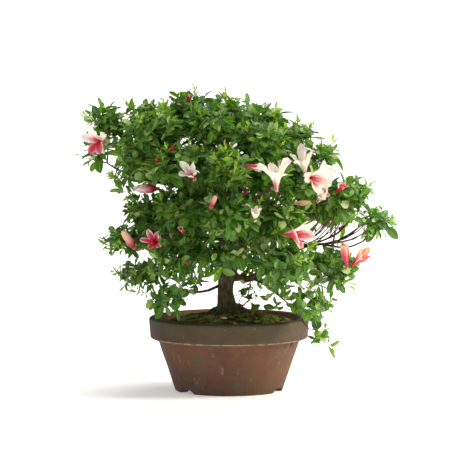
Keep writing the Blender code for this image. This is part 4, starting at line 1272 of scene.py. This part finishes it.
for i in order:
    end, facing, longer = ends[i]
    gaps = np.linalg.norm(knots - np.array(end), axis=1)
    cost = gaps + 0.45 * runs
    cost[gaps < 0.004] = 9
    at = int(cost.argmin())
    start = Vector(knots[at])
    gap = gaps[at]
    leave = (end - start).normalized() + Vector((0, 0, -0.15))
    arrive = end - facing * gap * 0.42
    bend = start + leave.normalized() * gap * 0.33
    tip = end + facing * longer
    count = max(4, min(9, int(gap / 0.006) + 2))
    route = []
    for k in range(count + 1):
        t = k / count
        point = (1 - t) ** 3 * start + 3 * (1 - t) ** 2 * t * bend
        point = point + 3 * (1 - t) * t * t * arrive + t**3 * end
        shake = noise.noise_vector(point / 0.012) * 0.0011 * math.sin(math.pi * t)
        route.append(point + shake)
    if longer:
        route.append(tip)
    first = len(knots)
    fresh = route[1:]
    lengths = [(route[k + 1] - route[k]).length for k in range(len(fresh))]
    travelled = runs[at] + np.cumsum(lengths)
    knots = np.vstack([knots, np.array([tuple(p) for p in fresh])])
    runs = np.concatenate([runs, travelled])
    for k in range(len(fresh)):
        parents[first + k] = at if k == 0 else first + k - 1
    paths.append((route, [at] + [first + k for k in range(len(fresh))]))

fan_draw = random.Random(3)
fan_ends = []
for count, *corners in FANS:
    first_foot, last_foot, first_top, last_top = (
        Vector((POT_AXIS.x, POT_AXIS.y, 0)) + Vector(c) * MM for c in corners
    )
    for k in range(count):
        share = (k + fan_draw.uniform(-0.5, 0.5)) / (count - 1)
        foot, top = first_foot.lerp(last_foot, share), first_top.lerp(last_top, share)
        foot += Vector([fan_draw.uniform(-0.003, 0.003) for _ in range(3)])
        top += Vector([fan_draw.uniform(-0.006, 0.006) for _ in range(3)])
        at = int(np.linalg.norm(wood_points - np.array(foot), axis=1).argmin())
        foot = foot.lerp(Vector(wood_points[at]), 0.6)
        sag = Vector((fan_draw.uniform(0.003, 0.010), 0, -0.006))
        route = [Vector(wood_points[at])]
        for step in range(9):
            point = foot.lerp(top, step / 8) + sag * math.sin(math.pi * step / 8)
            route.append(
                point + noise.noise_vector(point / 0.012 + Vector((0, 0, k))) * 0.0024
                * math.sin(math.pi * step / 8)
            )
        first = len(knots)
        knots = np.vstack([knots, np.array([tuple(p) for p in route[1:]])])
        for step in range(len(route) - 1):
            parents[first + step] = at if step == 0 else first + step - 1
        fan_ends.append(first + len(route) - 2)
        paths.append((route, [at] + [first + step for step in range(len(route) - 1)]))

load = np.zeros(len(knots))
for route, numbers in paths:
    walk = numbers[-1]
    while walk in parents:
        load[walk] += FAN_LOAD if numbers[-1] in fan_ends else 1
        walk = parents[walk]
twig_radius = np.minimum(0.00050 * np.maximum(load, 1) ** 0.36, 0.0019)
print(len(paths), "twigs,", len(knots) - len(wood_points), "knots")

# %% Twig tree
twig_finish, tree, shader, place = new_finish("young_azalea_bark", 0.72)
own_age = attribute(tree, "age")
mottle = stretch(cloud(place, 3, 3.0), 0.3, 0.7)
old_twig = blend(mottle, "3A2318", "7A4C38")
green_twig = blend(mottle, "6E7A2C", "8C6A3A")
paint(shader, blend(stretch(own_age, 0.0, 0.45), green_twig, old_twig))
bump(shader, cloud(place, 1.0), 0.12)

sweep, given, group_out = new_grower("sweep_twigs", {"Sides": "Int", "Finish": "Material"})
own_radius = stored(sweep, "thick")
curves = add_node(sweep, "GeometryNodeMeshToCurve", {"Mesh": given["Geometry"]}).outputs[0]
inputs = {"Curve": curves, "Radius": own_radius}
curves = add_node(sweep, "GeometryNodeSetCurveRadius", inputs).outputs[0]
inputs = {"Resolution": given["Sides"], "Radius": 1.0}
section = add_node(sweep, "GeometryNodeCurvePrimitiveCircle", inputs).outputs["Curve"]
inputs = {"Curve": curves, "Profile Curve": section, "Fill Caps": True}
swept = add_node(sweep, "GeometryNodeCurveToMesh", inputs)
if "Scale" in swept.inputs:
    sweep.links.new(own_radius, swept.inputs["Scale"])
smooth = add_node(sweep, "GeometryNodeSetShadeSmooth", {"Geometry": swept.outputs[0]}).outputs[0]
end_grower(smooth, given, group_out)

places, edges, thick, age = [], [], [], []
for route, numbers in paths:
    for k, (point, number) in enumerate(zip(route, numbers)):
        if k:
            edges.append((len(places) - 1, len(places)))
        places.append(tuple(point))
        own = twig_radius[number] if number in parents else twig_radius[numbers[1]]
        thick.append(own if k < len(route) - 1 else own * 0.7)
        age.append(min(max((own - 0.0005) / 0.0006, 0), 1) if k < len(route) - 2 else 0.0)
twig_lines = bpy.data.meshes.new("twig_lines")
twig_lines.from_pydata(places, edges, [])
store(twig_lines, thick=thick, age=age)
twig_mesh = grown(sweep, twig_lines, Sides=5, Finish=twig_finish)
piece("fine_twigs", twig_mesh, [twig_finish])
print("twigs:", len(twig_mesh.polygons), "faces")

# %% [markdown]
# ## A leaf
# A grown leaf is a blunt ellipse some 15 to 30 mm long and about half as wide, folded a little along
# its midrib and bent down at the tip. A young one is narrow and straight. Each is a sheet of a
# few dozen faces, one unit long, with a UV map for the midrib and veins. Light passes through
# it, so the finish mixes a glossy skin with a translucent one in a yellower green.


# %% Leaf shapes
def leaf_mesh(name, widest, broad, fold, bend, rows=8, columns=4):
    """A leaf of unit length along X, with its upper face towards Z and a rounded tip."""
    points, faces, uvs = [], [], []
    for i in range(rows + 1):
        out = 1 - (1 - i / rows) ** 1.35
        if out < widest:
            half = broad / 2 * math.sin(math.pi / 2 * out / widest) ** 1.1
        else:
            half = broad / 2 * max(1 - ((out - widest) / (1 - widest)) ** 2, 0) ** 0.62
        half = max(half, 0.014 if i < 2 else 0.004)
        for j in range(columns + 1):
            side = j / columns * 2 - 1
            lift = fold * abs(side) * half - bend * out**2
            ripple = 0.014 * math.sin(out * 9 + side * 2) * abs(side)
            points.append((out, side * half, lift + ripple))
            uvs.append((side * 0.5 + 0.5, out))
    for i in range(rows):
        for j in range(columns):
            a = i * (columns + 1) + j
            faces.append((a, a + columns + 1, a + columns + 2, a + 1))
    mesh = bpy.data.meshes.new(name)
    mesh.from_pydata(points, [], faces)
    mesh.uv_layers.new(name="UVMap")
    for loop in mesh.loops:
        mesh.uv_layers["UVMap"].data[loop.index].uv = uvs[loop.vertex_index]
    return mesh


grown_leaf = bpy.data.objects.new("grown_leaf", leaf_mesh("grown_leaf", 0.60, 0.47, 0.22, 0.14))
young_leaf = bpy.data.objects.new(
    "young_leaf", leaf_mesh("young_leaf", 0.52, 0.30, 0.35, 0.05, rows=6, columns=2)
)
print("a grown leaf has", len(grown_leaf.data.polygons), "faces")

# %% Leaf finish
leaf_finish, tree, shader, place = new_finish("azalea_leaf", 0.30, Specular_IOR_Level=0.62)
uv = add_node(tree, "ShaderNodeUVMap", uv_map="UVMap").outputs["UV"]
middle, outwards_share = from_middle(uv)
own_tone = attribute(tree, "tone")
own_youth = attribute(tree, "youth")
green = blend(own_tone, "1F5214", "629A34")
# The leaves with the highest tone turn a pale grey-green: partly paler leaves and partly a painted
# sheen, standing in for the glint of the sky on the glossy skin.
green = blend(stretch(own_tone, 0.82, 0.96), green, "B0C784")
green = blend(stretch(own_youth, 0.1, 0.95), green, "98C24C")
green = blend(stretch(cloud(place, 12), 0.4, 0.7, 0.0, 0.25), green, "24491A")
rib = stretch(middle, 0.0, 0.06, 0.55, 0.0)
green = blend(rib, green, "A9C963")
paint(shader, green)
VEIN_TURNS = 46.0
side_veins = compute("MULTIPLY", compute("SUBTRACT", outwards_share, middle), VEIN_TURNS)
bump(shader, compute("SINE", side_veins), 0.10)
inputs = {"Color": green, "Hue": 0.485, "Saturation": 1.08, "Value": 1.75}
through = add_node(tree, "ShaderNodeHueSaturation", inputs).outputs[0]
let_light_through(shader, through, 0.36)

# %% [markdown]
# ## Leaves on shoots
# Azalea leaves stand round the end of a shoot in a spiral, the lowest spread flat and the
# highest nearly upright. The tree below copies each shoot's point once for every leaf, turns
# each copy by the golden angle, tilts it by its place in the spiral and puts a leaf on it. It
# runs once for grown leaves and once for the young ones at the tip.

# %% Leaf whorl tree
inputs = {"Leaf": "Object", "Count": "Int", "Length": "Float", "Climb": "Float", "Lowest Tilt": "Float"}
inputs.update({"Highest Tilt": "Float", "Missing": "Float", "Youth": "Float", "Seed": "Int"})
whorl, given, group_out = new_grower("leaf_whorl", {**inputs, "Finish": "Material"})
GOLDEN_ANGLE = 2.39996
TOP_LEAF = 0.62  # the length of the highest leaf for that of the lowest
# Each shoot's point is copied once for each leaf, and some leaves are missing.
inputs = {"Geometry": given["Geometry"], "Amount": given["Count"]}
copies = add_node(whorl, "GeometryNodeDuplicateElements", inputs, domain="POINT")
number = copies.outputs["Duplicate Index"]
share = compute("DIVIDE", number, compute("SUBTRACT", given["Count"], 1.0))
leaves = with_value(copies.outputs[0], "share", share, "POINT")
leaves = with_value(leaves, "number", number, "POINT")
inputs = {"Probability": given["Missing"], "Seed": 17}
lost = add_node(whorl, "FunctionNodeRandomValue", inputs, data_type="BOOLEAN").outputs[3]
inputs = {"Geometry": leaves, "Selection": lost}
leaves = add_node(whorl, "GeometryNodeDeleteGeometry", inputs, domain="POINT").outputs[0]
share, number = stored(whorl, "share"), stored(whorl, "number")
# Each leaf is tilted by its place in the spiral and turned round the shoot.
jitter = random_vector(whorl, (-0.55, -0.45, -0.5), (0.55, 0.45, 0.5), given["Seed"])
jitter = add_node(whorl, "ShaderNodeSeparateXYZ", {0: jitter}).outputs
tilt = stretch(share, 0.0, 1.0, given["Lowest Tilt"], given["Highest Tilt"])
tilt = compute("MULTIPLY", compute("ADD", tilt, jitter["Y"]), -1.0)
golden = compute("MULTIPLY_ADD", number, GOLDEN_ANGLE, stored(whorl, "spun"))
inputs = {0: jitter["X"], 1: tilt, 2: compute("ADD", golden, jitter["Z"])}
own_turn = add_node(whorl, "ShaderNodeCombineXYZ", inputs).outputs[0]
own_turn = add_node(whorl, "FunctionNodeEulerToRotation", {0: own_turn}).outputs[0]
facing = stored(whorl, "facing", "FLOAT_VECTOR")
shoot_turn = add_node(
    whorl, "FunctionNodeAlignRotationToVector", {"Vector": facing}, axis="Z"
).outputs[0]
inputs = {0: shoot_turn, 1: own_turn}
leaf_turn = add_node(whorl, "FunctionNodeRotateRotation", inputs, rotation_space="LOCAL").outputs[0]
# It stands a little further up, and is shorter, the nearer it is to the tip.
climb = scaled(facing, compute("MULTIPLY", share, given["Climb"]))
leaves = add_node(whorl, "GeometryNodeSetPosition", {"Geometry": leaves, "Offset": climb}).outputs[0]
length = compute("MULTIPLY", given["Length"], stretch(share, 0.0, 1.0, 1.0, TOP_LEAF))
length = compute("MULTIPLY", length, stored(whorl, "vigour"))
form = scaled(random_vector(whorl, (0.54, 0.52, 0.0), (1.18, 1.20, 2.6), 31), length)
leaf = add_node(whorl, "GeometryNodeObjectInfo", {"Object": given["Leaf"]}).outputs["Geometry"]
inputs = {"Points": leaves, "Instance": leaf, "Rotation": leaf_turn, "Scale": form}
placed = add_node(whorl, "GeometryNodeInstanceOnPoints", inputs).outputs[0]
toned = with_value(placed, "tone", random_number(whorl, 5), "INSTANCE")
younger = compute("MULTIPLY", share, stored(whorl, "youth"))
younger = compute("MULTIPLY_ADD", younger, 0.5, given["Youth"])
end_grower(with_value(toned, "youth", younger, "INSTANCE"), given, group_out)
print("the whorl tree has", len(whorl.nodes), "nodes")


# %% Leaves
def shoot_points(name, chosen):
    """A points mesh of shoots for the whorl tree."""
    draw = random.Random(name)
    return points_mesh(
        name, [p for p, _, _, _, _ in chosen], facing=[tuple(d) for _, d, _, _, _ in chosen],
        vigour=[v for _, _, v, _, _ in chosen], youth=[y for _, _, _, y, _ in chosen],
        spun=[draw.uniform(0, math.tau) for _ in chosen],
    )


def leafy(name, own, seed):
    """The leaves of some shoots: grown ones along each, and a run of young ones past some tips."""
    layers = [
        grown(whorl, shoot_points(name
        + "_grown", own), Leaf=grown_leaf, Count=8, Length=0.0262, Climb=0.012,
              Lowest_Tilt=-0.15, Highest_Tilt=0.80, Missing=0.28, Youth=0.0, Seed=seed,
              Finish=leaf_finish),
    ]
    tips = [(p + d * 0.010, d, v, y, i) for p, d, v, y, i in own if y > YOUNG_SHOOT]
    if tips:
        layers.append(grown(whorl, shoot_points(name
        + "_young", tips), Leaf=young_leaf, Count=8, Length=0.0172, Climb=0.014,
                            Lowest_Tilt=0.35, Highest_Tilt=1.25, Missing=0.1, Youth=0.55,
                            Seed=seed + 90, Finish=leaf_finish))
    return joined(name, layers)


leaf_faces = 0
for index, spray in enumerate(sprays):
    mesh = leafy(spray.node.replace("leaves_", "spray_"), [s for s in shoots if s[4] == index], index)
    piece(mesh.name, mesh, [leaf_finish], [spray.node])
    leaf_faces += len(mesh.polygons)
loose_leaves = leafy("loose_leaves", [s for s in shoots if s[4] == LOOSE], LOOSE)
piece("loose_leaves", loose_leaves, [leaf_finish])
print("leaves:", leaf_faces, "faces")
